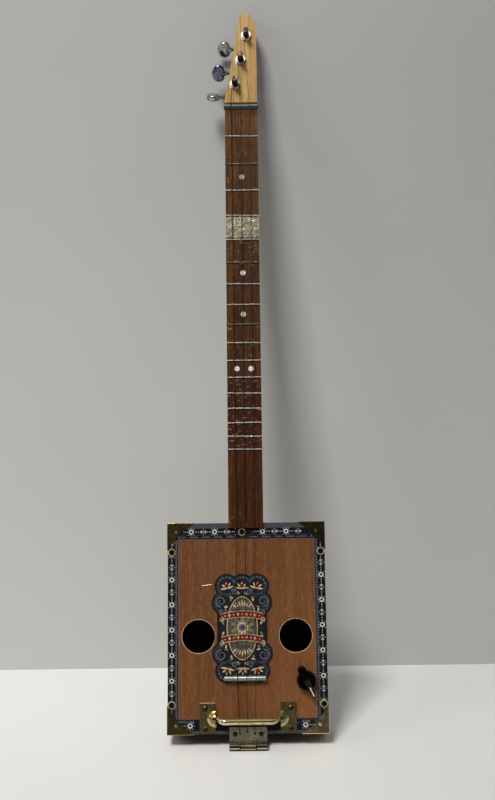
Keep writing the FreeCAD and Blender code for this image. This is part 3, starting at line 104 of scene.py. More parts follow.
def blend(tree, share, first, second, way="MIX"):
    """Two colours mixed by a share."""
    feeds = {0: share, 6: first, 7: second}
    return put(tree, "ShaderNodeMix", feeds, data_type="RGBA", blend_type=way).outputs[2]


def glaze(tree, base, mask, low, high, share, colour):
    """The base with a share of another colour over it, as the mask goes from low to high."""
    return blend(tree, ease(tree, mask, low, high, 0.0, share), base, rgb(*colour))


def stain(tree, base, mask, share, colour):
    """The base with a share of another colour over it where the mask is one."""
    return blend(tree, times(tree, mask, share), base, rgb(*colour))


def shades(tree, value, stops):
    """A colour scale along a value."""
    made = put(tree, "ShaderNodeValToRGB", {"Fac": value})
    scale = made.color_ramp
    scale.elements.remove(scale.elements[1])
    scale.elements[0].position = stops[0][0]
    scale.elements[0].color = stops[0][1]
    for stop, colour in stops[1:]:
        scale.elements.new(stop).color = colour
    return made.outputs["Color"]


def bare_finish(name, **sockets):
    """A material with its shader, and the numbers that are the same all over it."""
    finish = bpy.data.materials.new(name)
    finish.use_nodes = True
    tree = finish.node_tree
    shader = tree.nodes["Principled BSDF"]
    for socket, value in sockets.items():
        shader.inputs[socket.replace("_", " ")].default_value = value
    return finish, tree, shader


def wire(tree, shader, **sources):
    """Feeds the shader's sockets from other nodes."""
    for socket, source in sources.items():
        tree.links.new(source, shader.inputs[socket.replace("_", " ")])


def own_place(tree):
    """The point of the surface, in the instrument's own frame."""
    return put(tree, "ShaderNodeTexCoord").outputs["Object"]


def axes(tree, place):
    """How far a place lies to the right, to the back and up."""
    return put(tree, "ShaderNodeSeparateXYZ", {0: place}).outputs


def relief(tree, shader, height, distance):
    """Small heights on the surface."""
    made = put(tree, "ShaderNodeBump", {"Height": height, "Distance": distance})
    wire(tree, shader, Normal=made.outputs["Normal"])


def new_group(name, *patterns):
    """A node group that takes a place and gives patterns, and that place inside it."""
    group = bpy.data.node_groups.new(name, "ShaderNodeTree")
    group.interface.new_socket(name="Vector", in_out="INPUT", socket_type="NodeSocketVector")
    for pattern in patterns:
        group.interface.new_socket(name=pattern, in_out="OUTPUT", socket_type="NodeSocketFloat")
    return group, put(group, "NodeGroupInput").outputs["Vector"]


def patterned(tree, group, place):
    """The patterns that a group gives at a place."""
    return list(put(tree, "ShaderNodeGroup", {"Vector": place}, node_tree=group).outputs)


def wood_grain():
    """Grain along Z: broad bands, fine streaks, short pores and longer flecks."""
    group, place = new_group("wood_grain", "Bands", "Streaks", "Pores", "Flecks")
    bands = speckle(group, stretch(group, place, (1, 1, 0.05)), 85.0, 3.0, 0.6)
    streaks = speckle(group, stretch(group, place, (1, 1, 0.022)), 620.0, 4.0, 0.2)
    pores = speckle(group, stretch(group, place, (1, 1, 0.11)), 1250.0, 1.5)
    flecks = speckle(group, stretch(group, place, (1, 1, 0.075)), 820.0, 2.0, 0.3)
    put(group, "NodeGroupOutput", {"Bands": bands, "Streaks": streaks,
                                   "Pores": ease(group, pores, 0.58, 0.68), "Flecks": flecks})
    return group


def dress(finish, *nodes):
    """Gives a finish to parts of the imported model."""
    for node in nodes:
        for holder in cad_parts[node].material_slots:
            holder.material = finish


grain = wood_grain()
neck_shadow = (6 * mm, 19 * mm)
neck_pore_depth = 0.08 * mm
neck_wood, tree, shader = bare_finish("neck_wood", Specular_IOR_Level=0.25)
place = own_place(tree)
bands, streaks, pores, flecks = patterned(tree, grain, place)
across = axes(tree, place)["X"]
pale = shades(tree, bands, [(0.3, rgb(148, 117, 58)), (0.5, rgb(166, 134, 72)), (0.72, rgb(182, 154, 90))])
pale = glaze(tree, pale, across, *neck_shadow, 0.5, (168, 122, 60))
pale = glaze(tree, pale, flecks, 0.54, 0.68, 0.4, (128, 92, 44))
pale = glaze(tree, pale, streaks, 0.5, 0.68, 0.6, (128, 90, 46))
year_rings = speckle(tree, stretch(tree, place, (1, 0.3, 0.014)), 300.0, 2.0, 0.3)
pale = glaze(tree, pale, year_rings, 0.56, 0.63, 0.35, (146, 98, 48))
pale = glaze(tree, pale, year_rings, 0.42, 0.34, 0.4, (196, 168, 108))
pale = stain(tree, pale, pores, 0.18, (120, 78, 44))
pale = glaze(tree, pale, speckle(tree, place, 60.0, 3.0), 0.6, 0.75, 0.18, (150, 120, 84))
wire(tree, shader, Base_Color=pale, Roughness=ease(tree, streaks, 0.3, 0.7, 0.42, 0.58))
relief(tree, shader, reckon(tree, "SUBTRACT", streaks, pores), neck_pore_depth)
dress(neck_wood, "neck")

# Fretboard: a 6 mm strip of dark stained wood glued on the stick. Years of fingers have
# streaked it, and a reddish smear lies between the last frets.
board_line = 76.5 * mm
scale_length = 647.7 * mm
fret_lines = [board_line + scale_length / 2 ** (number / 12) for number in range(18)]
paler_upward = (300 * mm, 660 * mm)
palest = (660 * mm, 715 * mm)
nut_shadow = (706 * mm, 718 * mm)
smear_foot = (317 * mm, 326 * mm)
smear_head = (405 * mm, 392 * mm)
fret_shadow_below, fret_shadow_half = 1.5 * mm, 0.75 * mm
scuffed_frets = (6, 9, 13)
scuff_below, scuff_half = 3 * mm, 4.5 * mm
board_pore_depth = 0.1 * mm

board_wood, tree, shader = bare_finish("board_wood", Specular_IOR_Level=0.1)
place = own_place(tree)
bands, streaks, pores, flecks = patterned(tree, grain, place)
height = axes(tree, place)["Z"]
upper = shades(tree, bands, [(0.3, rgb(58, 37, 15)), (0.5, rgb(73, 47, 18)), (0.7, rgb(92, 61, 26))])
lower = shades(tree, bands, [(0.3, rgb(48, 22, 4)), (0.5, rgb(58, 27, 5)), (0.7, rgb(70, 35, 8))])
brown = blend(tree, ease(tree, height, *paler_upward), lower, upper)
brown = glaze(tree, brown, height, *palest, 0.4, (122, 84, 40))
brown = glaze(tree, brown, streaks, 0.46, 0.64, 0.5, (38, 20, 7))
brown = glaze(tree, brown, streaks, 0.42, 0.30, 0.3, (108, 66, 22))
brown = glaze(tree, brown, flecks, 0.52, 0.68, 0.6, (30, 16, 6))
brown = glaze(tree, brown, flecks, 0.44, 0.30, 0.35, (114, 70, 26))
brown = stain(tree, brown, pores, 0.5, (28, 17, 10))
smear = speckle(tree, stretch(tree, place, (1, 1, 0.6)), 75.0, 4.0, 0.4)
low_part = times(tree, ease(tree, height, *smear_foot), ease(tree, height, *smear_head))
smear = times(tree, ease(tree, smear, 0.36, 0.5), low_part)
brown = stain(tree, brown, smear, 0.75, (58, 18, 12))
brown = stain(tree, brown, low_part, 0.35, (34, 14, 8))
plum = speckle(tree, stretch(tree, place, (1, 1, 0.5)), 190.0, 3.0)
plum = times(tree, ease(tree, plum, 0.56, 0.66), low_part)
brown = stain(tree, brown, plum, 0.3, (86, 52, 48))
# Painted shadow: a dark line just below each fret, where the fret's shadow falls.
fret_shadow_lines = [near(tree, height, line - fret_shadow_below, fret_shadow_half) for line in fret_lines[1:]]
painted_shade = fret_shadow_lines[0]
for fret_shadow_line in fret_shadow_lines[1:]:
    painted_shade = reckon(tree, "MAXIMUM", painted_shade, fret_shadow_line)
brown = stain(tree, brown, painted_shade, 0.8, (20, 12, 8))
worn = reckon(tree, "ADD", ease(tree, speckle(tree, place, 28.0, 1.0), 0.52, 0.66), low_part)
for number in scuffed_frets:
    here = near(tree, height, fret_lines[number] - scuff_below, scuff_half)
    worn = reckon(tree, "ADD", worn, here)
scuff = ease(tree, speckle(tree, stretch(tree, place, (0.45, 1, 1.8)), 380.0, 4.0), 0.62, 0.7)
scuff = times(tree, scuff, reckon(tree, "MINIMUM", worn, 1.0))
brown = stain(tree, brown, scuff, 0.5, (190, 164, 134))
under_nut = times(tree, ease(tree, height, *nut_shadow), 0.5)
brown = blend(tree, under_nut, brown, rgb(30, 18, 11))
wire(tree, shader, Base_Color=brown, Roughness=ease(tree, streaks, 0.3, 0.7, 0.5, 0.72))
relief(tree, shader, reckon(tree, "SUBTRACT", streaks, pores), board_pore_depth)
dress(board_wood, "fretboard")


# Frets: round bright wires laid in grooves and a little uneven, as they were fitted by
# hand. Three of them have gone dull.
def handled_metal():
    """What handling leaves on metal: dull clouds and fine scratches."""
    group, place = new_group("handled_metal", "Dull", "Scratches")
    dull = ease(group, speckle(group, place, 130.0, 5.0, 0.5), 0.42, 0.64)
    one_way = speckle(group, stretch(group, place, (1, 0.4, 0.06), (0, 0.5, 0)), 1500.0, 2.0)
    other_way = speckle(group, stretch(group, place, (0.06, 0.4, 1), (0, 0.8, 0)), 1300.0, 2.0)
    crossed = reckon(group, "MAXIMUM", one_way, other_way)
    put(group, "NodeGroupOutput", {"Dull": dull, "Scratches": ease(group, crossed, 0.64, 0.74)})
    return group


def metal_finish(name, bright, dull, smooth, rough, share=0.7, scratches=0.5, depth=0.03):
    """A metal with a bright and a dull colour, and the roughness of each; depth is in mm."""
    finish, tree, shader = bare_finish(name, Metallic=1.0)
    clouds, scores = patterned(tree, handling, own_place(tree))
    clouded = times(tree, clouds, share)
    scored = times(tree, scores, scratches)
    colour = blend(tree, clouded, rgb(*bright), rgb(*dull))
    colour = blend(tree, scored, colour, rgb(*bright))
    wire(tree, shader, Base_Color=colour, Roughness=ease(tree, clouded, 0.0, 1.0, smooth, rough))
    relief(tree, shader, reckon(tree, "SUBTRACT", clouded, scored), depth * mm)
    return finish, tree, shader, colour


def dress_in_metal(nodes, *look, **marks):
    """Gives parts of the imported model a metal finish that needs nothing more."""
    dress(metal_finish(*look, **marks)[0], *nodes)


handling = handled_metal()
dull_frets = (2, 6, 9)
fret_half = 2 * mm
fret_metal, tree, shader, colour = metal_finish(
    "fret_wire", (222, 219, 212), (150, 143, 134), smooth=0.16, rough=0.42)
height = axes(tree, own_place(tree))["Z"]
for number in dull_frets:
    here = near(tree, height, fret_lines[number], fret_half)
    colour = stain(tree, colour, here, 0.75, (84, 74, 66))
wire(tree, shader, Base_Color=colour)
dress(fret_metal, "frets")

# Position dots: small discs of pearly shell or plastic, let in flush with the board. Two
# of them have grown dull under dirt.
dot_half = 6 * mm
dirty_dots = ((3, 0.7), (9, 0.4))
pearl, tree, shader = bare_finish("dot_pearl", Roughness=0.28, Coat_Weight=0.4, Coat_Roughness=0.15)
place = own_place(tree)
swirl = speckle(tree, place, 420.0, 3.0, 2.2)
pearly = shades(tree, swirl,
                [(0.3, rgb(150, 150, 156)), (0.5, rgb(206, 203, 196)), (0.7, rgb(232, 230, 224))])
height = axes(tree, place)["Z"]
for number, dirt in dirty_dots:
    dot_height = (fret_lines[number - 1] + fret_lines[number]) / 2
    here = near(tree, height, dot_height, dot_half)
    pearly = stain(tree, pearly, here, dirt, (118, 112, 102))
wire(tree, shader, Base_Color=pearly)
relief(tree, shader, swirl, 0.02 * mm)
dress(pearl, "position_dots")


# Foil plate between the frets 4 and 5: a patch of thin metal sheet pressed on by hand, so
# it is crumpled all over, with ragged short edges.
def named(name, size=(1, 1, 1)):
    """The piece just added, brought to its size, named and baked into place."""
    piece = bpy.context.object
    piece.scale = size
    bpy.ops.object.transform_apply(location=True, rotation=True, scale=True)
    piece.name = name
    piece.data.name = name
    return piece


upright = (math.pi / 2, 0, 0)
foil_low, foil_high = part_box("fifth_fret_plate")
foil_middle = (foil_low + foil_high) / 2
foil_tall = foil_high.z - foil_low.z
foil_sink = 0.1 * mm
foil_thickness = 0.2 * mm
broad_swell, sharp_fold, ragged_edge = 0.14 * mm, 0.16 * mm, 0.7 * mm
edge_share = 0.9
bpy.ops.object.select_all(action="DESELECT")
bpy.ops.mesh.primitive_grid_add(x_subdivisions=64, y_subdivisions=36, size=1, rotation=upright,
                                location=(foil_middle.x, foil_low.y + foil_sink, foil_middle.z))
foil = named("foil_sheet", (foil_high.x - foil_low.x, foil_tall, 1))
for corner in foil.data.vertices:
    here = corner.co.copy()
    broad = noise.noise(here * 140)
    sharp = abs(noise.noise(here * 420 + Vector((3, 0, 1))))
    corner.co.y += broad_swell * broad - sharp_fold * sharp
    edge = abs(here.z - foil_middle.z) / (foil_tall / 2)
    if edge > edge_share:
        corner.co.z += ragged_edge * noise.noise(Vector((here.x * 260, 5, edge)))
bpy.ops.object.modifier_add(type="SOLIDIFY")
foil.modifiers["Solidify"].thickness = foil_thickness
foil.modifiers["Solidify"].offset = -1
bpy.ops.object.modifier_apply(modifier="Solidify")
bpy.ops.object.shade_smooth_by_angle(angle=math.radians(18))
foil_metal, tree, shader, colour = metal_finish(
    "foil", (148, 141, 121), (88, 81, 62), smooth=0.26, rough=0.5, share=0.9, depth=0.14)
shader.inputs["Metallic"].default_value = 0.65
# Painted shade darkens the foil along a net of creases, and painted glints light small spots of it.
crease_shade = put(tree, "ShaderNodeTexVoronoi", {"Vector": own_place(tree), "Scale": 260.0},
             feature="DISTANCE_TO_EDGE").outputs["Distance"]
colour = glaze(tree, colour, crease_shade, 0.05, 0.0, 0.5, (84, 74, 60))
painted_glint = speckle(tree, own_place(tree), 520.0, 3.0)
colour = glaze(tree, colour, painted_glint, 0.6, 0.7, 0.7, (236, 232, 214))
wire(tree, shader, Base_Color=colour)
foil.data.materials.append(foil_metal)
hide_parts("fifth_fret_plate")
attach(foil, "guitar")


# Nut and bridge: two lengths of plain steel rod, with painted shade on their lower parts. The nut
# sits in a groove at the end of the fretboard, and the strings alone hold the bridge on the box.
def within(tree, value, low, high):
    """One where value lies between low and high, otherwise nothing."""
    return times(tree, reckon(tree, "GREATER_THAN", value, low), reckon(tree, "LESS_THAN", value, high))


rod_steel, tree, shader, colour = metal_finish(
    "steel_rod", (160, 166, 158), (100, 104, 96), smooth=0.36, rough=0.5, share=0.5, scratches=0.4)
height = axes(tree, own_place(tree))["Z"]
# Painted shade: the lower part of each rod is darkened.
for node, shaded_part, painted_share in (("nut_rod", 0.66, 0.9), ("bridge_rod", 0.3, 0.6)):
    rod_low, rod_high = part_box(node)
    shade_top = rod_low.z + shaded_part * (rod_high.z - rod_low.z)
    rod_shade = within(tree, height, rod_low.z - mm, shade_top)
    colour = stain(tree, colour, rod_shade, painted_share, (46, 50, 48))
wire(tree, shader, Base_Color=colour)
dress(rod_steel, "nut_rod", "bridge_rod")


# Box: thin panels of reddish brown cedar or mahogany, nailed and glued at the corners. The
# front has a thin satin varnish, and the inside is bare, darkened with painted shade.
skin = 0.1 * mm
box_pore_depth = 0.07 * mm
hollow_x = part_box("box_right_wall")[0].x
hollow_y = (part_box("front_panel")[1].y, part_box("back_panel")[0].y)
hollow_z = (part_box("box_tail_wall")[1].z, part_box("box_neck_wall")[0].z)
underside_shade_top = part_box("front_panel")[0].z + 2 * skin
paler_span = (-90 * mm, 60 * mm)


def box_finish(name, turn=(0, 0, 0)):
    """Cigar box wood whose grain is turned to run along the panel."""
    finish, tree, shader = bare_finish(name, Specular_IOR_Level=0.22)
    place = own_place(tree)
    along_panel = stretch(tree, place, (1.6, 1.6, 1.4), turn)
    bands, streaks, pores, flecks = patterned(tree, grain, along_panel)
    split = axes(tree, place)
    red = shades(tree, bands, [(0.3, rgb(92, 55, 27)), (0.5, rgb(101, 62, 31)), (0.7, rgb(112, 72, 38))])
    red = glaze(tree, red, streaks, 0.48, 0.66, 0.3, (76, 43, 22))
    red = glaze(tree, red, streaks, 0.42, 0.30, 0.25, (146, 98, 58))
    red = glaze(tree, red, flecks, 0.54, 0.68, 0.45, (68, 38, 20))
    red = glaze(tree, red, flecks, 0.44, 0.32, 0.4, (148, 100, 60))
    red = stain(tree, red, pores, 0.62, (58, 34, 20))
    # Paler towards the lower right of the panel.
    toward_lower_right = reckon(tree, "ADD", split["X"], times(tree, split["Z"], -0.6))
    red = glaze(tree, red, toward_lower_right, *paler_span, 0.35, (146, 94, 54))
    # Painted shade: the inside faces of the box are made nearly black.
    inside = times(tree, within(tree, split["X"], -hollow_x - skin, hollow_x + skin),
                   within(tree, split["Z"], hollow_z[0] - skin, hollow_z[1] + skin))
    inside = times(tree, inside, within(tree, split["Y"], hollow_y[0] - skin, hollow_y[1] + skin))
    red = stain(tree, red, inside, 0.93, (12, 8, 6))
    # Painted shade: the underside of the box is darkened.
    underside_shade = reckon(tree, "LESS_THAN", split["Z"], underside_shade_top)
    red = stain(tree, red, underside_shade, 0.62, (26, 16, 10))
    wire(tree, shader, Base_Color=red, Roughness=ease(tree, streaks, 0.3, 0.7, 0.38, 0.55))
    relief(tree, shader, reckon(tree, "SUBTRACT", streaks, pores), box_pore_depth)
    return finish


dress(box_finish("box_wood"), "front_panel", "back_panel", "box_left_wall", "box_right_wall")
dress(box_finish("box_end_wood", (0, math.pi / 2, 0)), "box_neck_wall", "box_tail_wall")


# Edge of each sound hole: the saw left a thin rim of bare pale wood round the bore, where
# the varnish is broken. The rim turns a little way into the bore.
def choose(piece, test):
    """Opens a piece for editing with the corners selected that pass the test."""
    bpy.ops.object.mode_set(mode="EDIT")
    bpy.ops.mesh.select_mode(type="VERT")
    bpy.ops.mesh.select_all(action="DESELECT")
    bpy.ops.object.mode_set(mode="OBJECT")
    for corner in piece.data.vertices:
        corner.select = test(corner.co)
    bpy.ops.object.mode_set(mode="EDIT")


def closed_up():
    """Turns the faces of the piece being edited outwards, and ends the editing."""
    bpy.ops.mesh.select_all(action="SELECT")
    bpy.ops.mesh.normals_make_consistent(inside=False)
    bpy.ops.object.mode_set(mode="OBJECT")


panel_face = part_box("front_panel")[0].y
hole_radius = 17.75 * mm
hole_from_middle, hole_height = 52.35 * mm, 117.1 * mm
rim_radius = 18.25 * mm
rim_gap, rim_lift, rim_edge, rim_depth = 0.03 * mm, 0.04 * mm, 0.06 * mm, 3.2 * mm
bare_rim, tree, shader = bare_finish("bare_rim", Roughness=0.6)
streaks = patterned(tree, grain, own_place(tree))[1]
wire(tree, shader, Base_Color=shades(tree, streaks, [(0.35, rgb(146, 112, 88)), (0.6, rgb(200, 174, 148))]))
relief(tree, shader, streaks, 0.1 * mm)
for side, name in ((-1, "sound_hole_rim_left"), (1, "sound_hole_rim_right")):
    hole_x = side * hole_from_middle
    bpy.ops.object.select_all(action="DESELECT")
    bpy.ops.mesh.primitive_circle_add(vertices=72, radius=hole_radius - rim_gap, fill_type="NOTHING",
                                      location=(hole_x, panel_face - rim_lift, hole_height),
                                      rotation=upright)
    rim = named(name)
    choose(rim, lambda corner: True)
    bpy.ops.mesh.extrude_edges_move()
    bpy.ops.transform.resize(value=(rim_radius / hole_radius, 1, rim_radius / hole_radius),
                             center_override=(hole_x, 0, hole_height))
    bpy.ops.mesh.extrude_edges_move(TRANSFORM_OT_translate={"value": (0, rim_edge, 0)})
    bpy.ops.mesh.select_all(action="DESELECT")
    bpy.ops.object.mode_set(mode="OBJECT")
    choose(rim, lambda corner: corner.y < panel_face - rim_gap
           and math.hypot(corner.x - hole_x, corner.z - hole_height) < hole_radius + 0.1 * mm)
    bpy.ops.mesh.extrude_edges_move(TRANSFORM_OT_translate={"value": (0, rim_depth, 0)})
    closed_up()
    rim.data.materials.append(bare_rim)
    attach(rim, "guitar")

# Border paper: the box maker's printed edging, dark blue with pale ornaments, glued round
# the front. Along the two ends it shows a plain strip of slate blue.
paper_low, paper_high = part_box("border_paper")
window_half = paper_high.x - 12 * mm
window_low = paper_low.z + 16 * mm
window_high = paper_high.z - 18 * mm
slate_top = (232.2 * mm, 232.6 * mm)
slate_foot = (19.4 * mm, 19.0 * mm)
inner_edge = (0.9 * mm, 0.7 * mm)
leaf_half, leaf_top = 20 * mm, 23 * mm

border_print, tree, shader = bare_finish("border_print", Roughness=0.42, Specular_IOR_Level=0.15)
place = own_place(tree)
split = axes(tree, place)
fibre = speckle(tree, place, 900.0, 4.0)
blot = speckle(tree, place, 160.0, 3.0)
ink = shades(tree, fibre, [(0.35, rgb(6, 6, 8)), (0.65, rgb(17, 17, 23))])
strip = reckon(tree, "MAXIMUM", ease(tree, split["Z"], *slate_top), ease(tree, split["Z"], *slate_foot))
ink = blend(tree, strip, ink, blend(tree, fibre, rgb(52, 50, 56), rgb(76, 73, 80)))
ink = glaze(tree, ink, blot, 0.64, 0.7, 0.4, (84, 78, 74))
past_side = reckon(tree, "SUBTRACT", reckon(tree, "ABSOLUTE", split["X"]), window_half)
past_top = reckon(tree, "SUBTRACT", split["Z"], window_high)
past_foot = reckon(tree, "SUBTRACT", window_low, split["Z"])
past = reckon(tree, "MAXIMUM", past_side, reckon(tree, "MAXIMUM", past_top, past_foot))
ink = glaze(tree, ink, past, *inner_edge, 0.8, (98, 84, 82))
# Painted shade: the paper behind the hinge leaf is made nearly black.
shade_under_leaf = times(tree, near(tree, split["X"], 0.0, leaf_half),
                   reckon(tree, "LESS_THAN", split["Z"], leaf_top))
ink = blend(tree, shade_under_leaf, ink, rgb(9, 8, 8))
wire(tree, shader, Base_Color=ink)
relief(tree, shader, blot, 0.03 * mm)
dress(border_print, "border_paper")


# Ornaments of the border: rings at even steps, with a pair of lozenges and small beads
# between them, a row of ticks along the inner edge and two fine lines, all printed.
def flat_print(name, outline):
    """A flat printed shape on the front, from its corner points in order."""
    bpy.ops.object.select_all(action="DESELECT")
    bpy.ops.mesh.primitive_circle_add(vertices=len(outline), fill_type="NGON", rotation=upright)
    piece = named(name)
    for corner, spot in zip(piece.data.vertices, outline):
        corner.co = spot
    return piece


def finish_print(piece, ink):
    """Gives a print its thickness, its ink and its place on the guitar."""
    bpy.ops.object.select_all(action="DESELECT")
    bpy.context.view_layer.objects.active = piece
    piece.select_set(True)
    bpy.ops.object.modifier_add(type="SOLIDIFY")
    piece.modifiers["Solidify"].thickness = ink_thickness
    bpy.ops.object.modifier_apply(modifier="Solidify")
    piece.data.materials.append(ink)
    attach(piece, "guitar")


def joined(parts, name):
    """Several pieces made one."""
    bpy.ops.object.select_all(action="DESELECT")
    for part in parts:
        part.select_set(True)
    bpy.context.view_layer.objects.active = parts[0]
    if len(parts) > 1:
        bpy.ops.object.join()
    piece = bpy.context.view_layer.objects.active
    piece.name = name
    piece.data.name = name
    return piece


def copies(pattern, spots, name):
    """Copies of a small mark at (place, turn), joined into one piece; the pattern goes."""
    made = []
    for spot, turn in spots:
        mesh = pattern.data.copy()
        mesh.transform(Matrix.Translation(spot) @ Matrix.Rotation(turn, 4, "Y"))
        copy = bpy.data.objects.new(name, mesh)
        bpy.context.scene.collection.objects.link(copy)
        made.append(copy)
    bpy.data.objects.remove(pattern)
    return joined(made, name)


def plain_print(name, colour, worn, roughness=0.45, rubbed=0.5):
    """Printing ink on paper: a flat colour broken by fibres and rubbed spots."""
    finish, tree, shader = bare_finish(name, Roughness=roughness, Specular_IOR_Level=0.15)
    place = own_place(tree)
    fibre = speckle(tree, place, 1400.0, 4.0)
    rub = speckle(tree, place, 420.0, 4.0, 0.5)
    shade = blend(tree, ease(tree, fibre, 0.4, 0.7, 0.0, 0.45), rgb(*colour), rgb(*worn))
    shade = glaze(tree, shade, rub, 0.48, 0.62, rubbed, worn)
    wire(tree, shader, Base_Color=shade)
    relief(tree, shader, fibre, 0.02 * mm)
    return finish


def diamond(name, half_wide, half_high):
    """A small diamond in the plane of the front."""
    return flat_print(name, [(half_wide, 0, 0), (0, 0, half_high), (-half_wide, 0, 0), (0, 0, -half_high)])


def clear_of_fittings(spot):
    """True where the paper's ornaments aren't under the brass, the fretboard or the handle."""
    x, z = abs(spot.x), spot.z
    in_strip = foot_strip_top < z < top_strip_foot and x < paper_reach
    under_board = z > window_high and x < board_half
    under_handle = z < window_low and x < handle_half
    return in_strip and not under_board and not under_handle


pale_ink = plain_print("pale_ink", (204, 202, 194), (116, 116, 118), rubbed=0.4)
tick_ink = plain_print("tick_ink", (142, 140, 138), (76, 76, 80), rubbed=0.4)
mid_ink = plain_print("mid_ink", (158, 158, 160), (88, 88, 92), rubbed=0.4)
grey_ink = plain_print("grey_ink", (70, 70, 80), (42, 43, 52), rubbed=0.4)
ink_thickness = 0.012 * mm
print_y = paper_low.y - 0.03 * mm
foot_strip_top, top_strip_foot = 17.5 * mm, 236 * mm
paper_reach = 84.5 * mm
board_half, handle_half = 9 * mm, 56 * mm

ring_radius, ring_hole_share = 2.7 * mm, 0.52
bpy.ops.object.select_all(action="DESELECT")
bpy.ops.mesh.primitive_circle_add(vertices=18, radius=ring_radius, fill_type="NOTHING", rotation=upright)
ring = named("ring")
choose(ring, lambda corner: True)
bpy.ops.mesh.extrude_edges_move()
bpy.ops.transform.resize(value=(ring_hole_share, 1, ring_hole_share), center_override=(0, 0, 0))
closed_up()
if ring.data.polygons[0].normal.y > 0:
    ring.data.flip_normals()

side_run = 26.6 * mm
side_reach, top_reach, foot_reach = 7.6 * mm, 8.6 * mm, 7.4 * mm
side_rows = ((-1, 177.4 * mm), (1, 181.3 * mm))
top_row = (-59.9, -34.4, -8.9, 18.0, 43.8)
foot_row = (-61.5, -36.2, 37.4, 61.0)
beside_screw = top_row[2] * mm
stations = []
for side, first in side_rows:
    heights = [first - step * side_run for step in range(-2, 6)]
    stations += [(Vector((side * (window_half + side_reach), print_y, z)), math.pi / 2)
                 for z in heights if 30 * mm < z < 226 * mm]
stations += [(Vector((x * mm, print_y, window_high + top_reach)), 0) for x in top_row]
stations += [(Vector((x * mm, print_y, window_low - foot_reach)), 0) for x in foot_row]
rings = [(spot, turn) for spot, turn in stations if abs(spot.x - beside_screw) > 1 * mm]

pair_steps = (11.2, 15.4)
bead_steps = (-7.9, -5.9, -4.2, 4.2, 5.9, 7.9, 13.3)
bead_crown = ((-2.9, 3.2), (0, 3.9), (2.9, 3.2), (-2.9, -3.2), (0, -3.9), (2.9, -3.2),
              (13.3, 2.6), (13.3, -2.6))
pairs = []
beads = []
for spot, turn in stations:
    along = Vector((1, 0, 0)) if turn == 0 else Vector((0, 0, 1))
    across = Vector((0, 0, 1)) if turn == 0 else Vector((1, 0, 0))
    pairs += [(spot + along * reach * mm, turn) for reach in pair_steps]
    beads += [(spot + along * reach * mm, turn) for reach in bead_steps]
    beads += [(spot + (along * reach + across * aside) * mm, turn) for reach, aside in bead_crown]
pairs = [item for item in pairs if clear_of_fittings(item[0])]
beads = [item for item in beads if clear_of_fittings(item[0])]

tick_run = 2.2 * mm
side_tick, top_tick, foot_tick = 2.7 * mm, 3.0 * mm, 3.2 * mm
ticks_in_group, group_run = 4, 6
screw_middle, screw_clear = -4.6 * mm, 5 * mm
ticks = []
for number in range(int((window_high - window_low) / tick_run) + 1):
    z = window_low + number * tick_run
    ticks += [(Vector((side * (window_half + side_tick), print_y, z)), 0) for side in (-1, 1)]
for number in range(int(2 * window_half / tick_run) + 1):
    x = -window_half + number * tick_run
    if number % group_run < ticks_in_group:
        if abs(x - screw_middle) > screw_clear:
            ticks.append((Vector((x, print_y, window_high + top_tick)), math.pi / 2))
        if abs(x) > handle_half:
            ticks.append((Vector((x, print_y, window_low - foot_tick)), math.pi / 2))

for pattern, spots, name, ink in (
        (ring, rings, "border_rings", pale_ink),
        (diamond("lozenge", 1.6 * mm, 2.0 * mm), pairs, "border_lozenges", mid_ink),
        (diamond("bead", 0.7 * mm, 0.7 * mm), beads, "border_beads", mid_ink),
        (diamond("tick", 0.95 * mm, 0.5 * mm), ticks, "border_dashes", tick_ink)):
    finish_print(copies(pattern, spots, name), ink)

line_thick = 0.3 * mm
lines = []
for reach in (4.1 * mm, 1.3 * mm):
    wide = window_half + reach
    high = window_high + reach + 1.1 * mm
    foot = window_low - reach - 1.0 * mm
    for x0, x1, z0, z1 in ((-wide, -wide + line_thick, foot, high),
                           (wide - line_thick, wide, foot, high),
                           (-wide + line_thick, wide - line_thick, high - line_thick, high),
                           (-wide + line_thick, -handle_half, foot, foot + line_thick),
                           (handle_half, wide - line_thick, foot, foot + line_thick)):
        corners = ((x1, z0), (x1, z1), (x0, z1), (x0, z0))
        lines.append(flat_print("line", [(x, print_y, z) for x, z in corners]))
finish_print(joined(lines, "border_lines"), grey_ink)


# Label: a printed cartouche pasted under the strings. The design here is a plain one of
# the same colours: leafy scrolls round an oval, crossed by dark red bands. Its shapes are
# given in millimetres from its middle.
def round_shape(x, z, wide, tall, steps=32, waves=0, depth=0.0):
    """Corner points of an ellipse on the label, its outline waved if wished."""
    points = []
    for step in range(steps):
        angle = 2 * math.pi * step / steps
        swell = 1 + depth * math.cos(waves * angle)
        points.append((wide * swell * math.cos(angle) + x, tall * swell * math.sin(angle) + z))
    return points


def leaf_shape(x, z, length, width, turn):
    """Corner points of a pointed leaf that starts at x, z."""
    shape = [(0, 0), (0.3, 0.42), (0.6, 0.5), (0.85, 0.28), (1, 0), (0.85, -0.28), (0.6, -0.5), (0.3, -0.42)]
    return [(u * length * math.cos(turn) - v * width * math.sin(turn) + x,
             u * length * math.sin(turn) + v * width * math.cos(turn) + z) for u, v in shape]


def curl_shape(x, z, radius, turn, hand, thick=1.0):
    """Corner points of a ribbon that curls inward round x, z and narrows to its end."""
    outer, inner = [], []
    for step in range(15):
        share = step / 14
        angle = turn + hand * share * 1.45 * 2 * math.pi
        reach = radius * (1 - 0.72 * share)
        half = thick * (0.5 - 0.3 * share)
        outer.append(((reach + half) * math.cos(angle) + x, (reach + half) * math.sin(angle) + z))
        inner.append(((reach - half) * math.cos(angle) + x, (reach - half) * math.sin(angle) + z))
    return outer + inner[::-1] if hand > 0 else inner + outer[::-1]


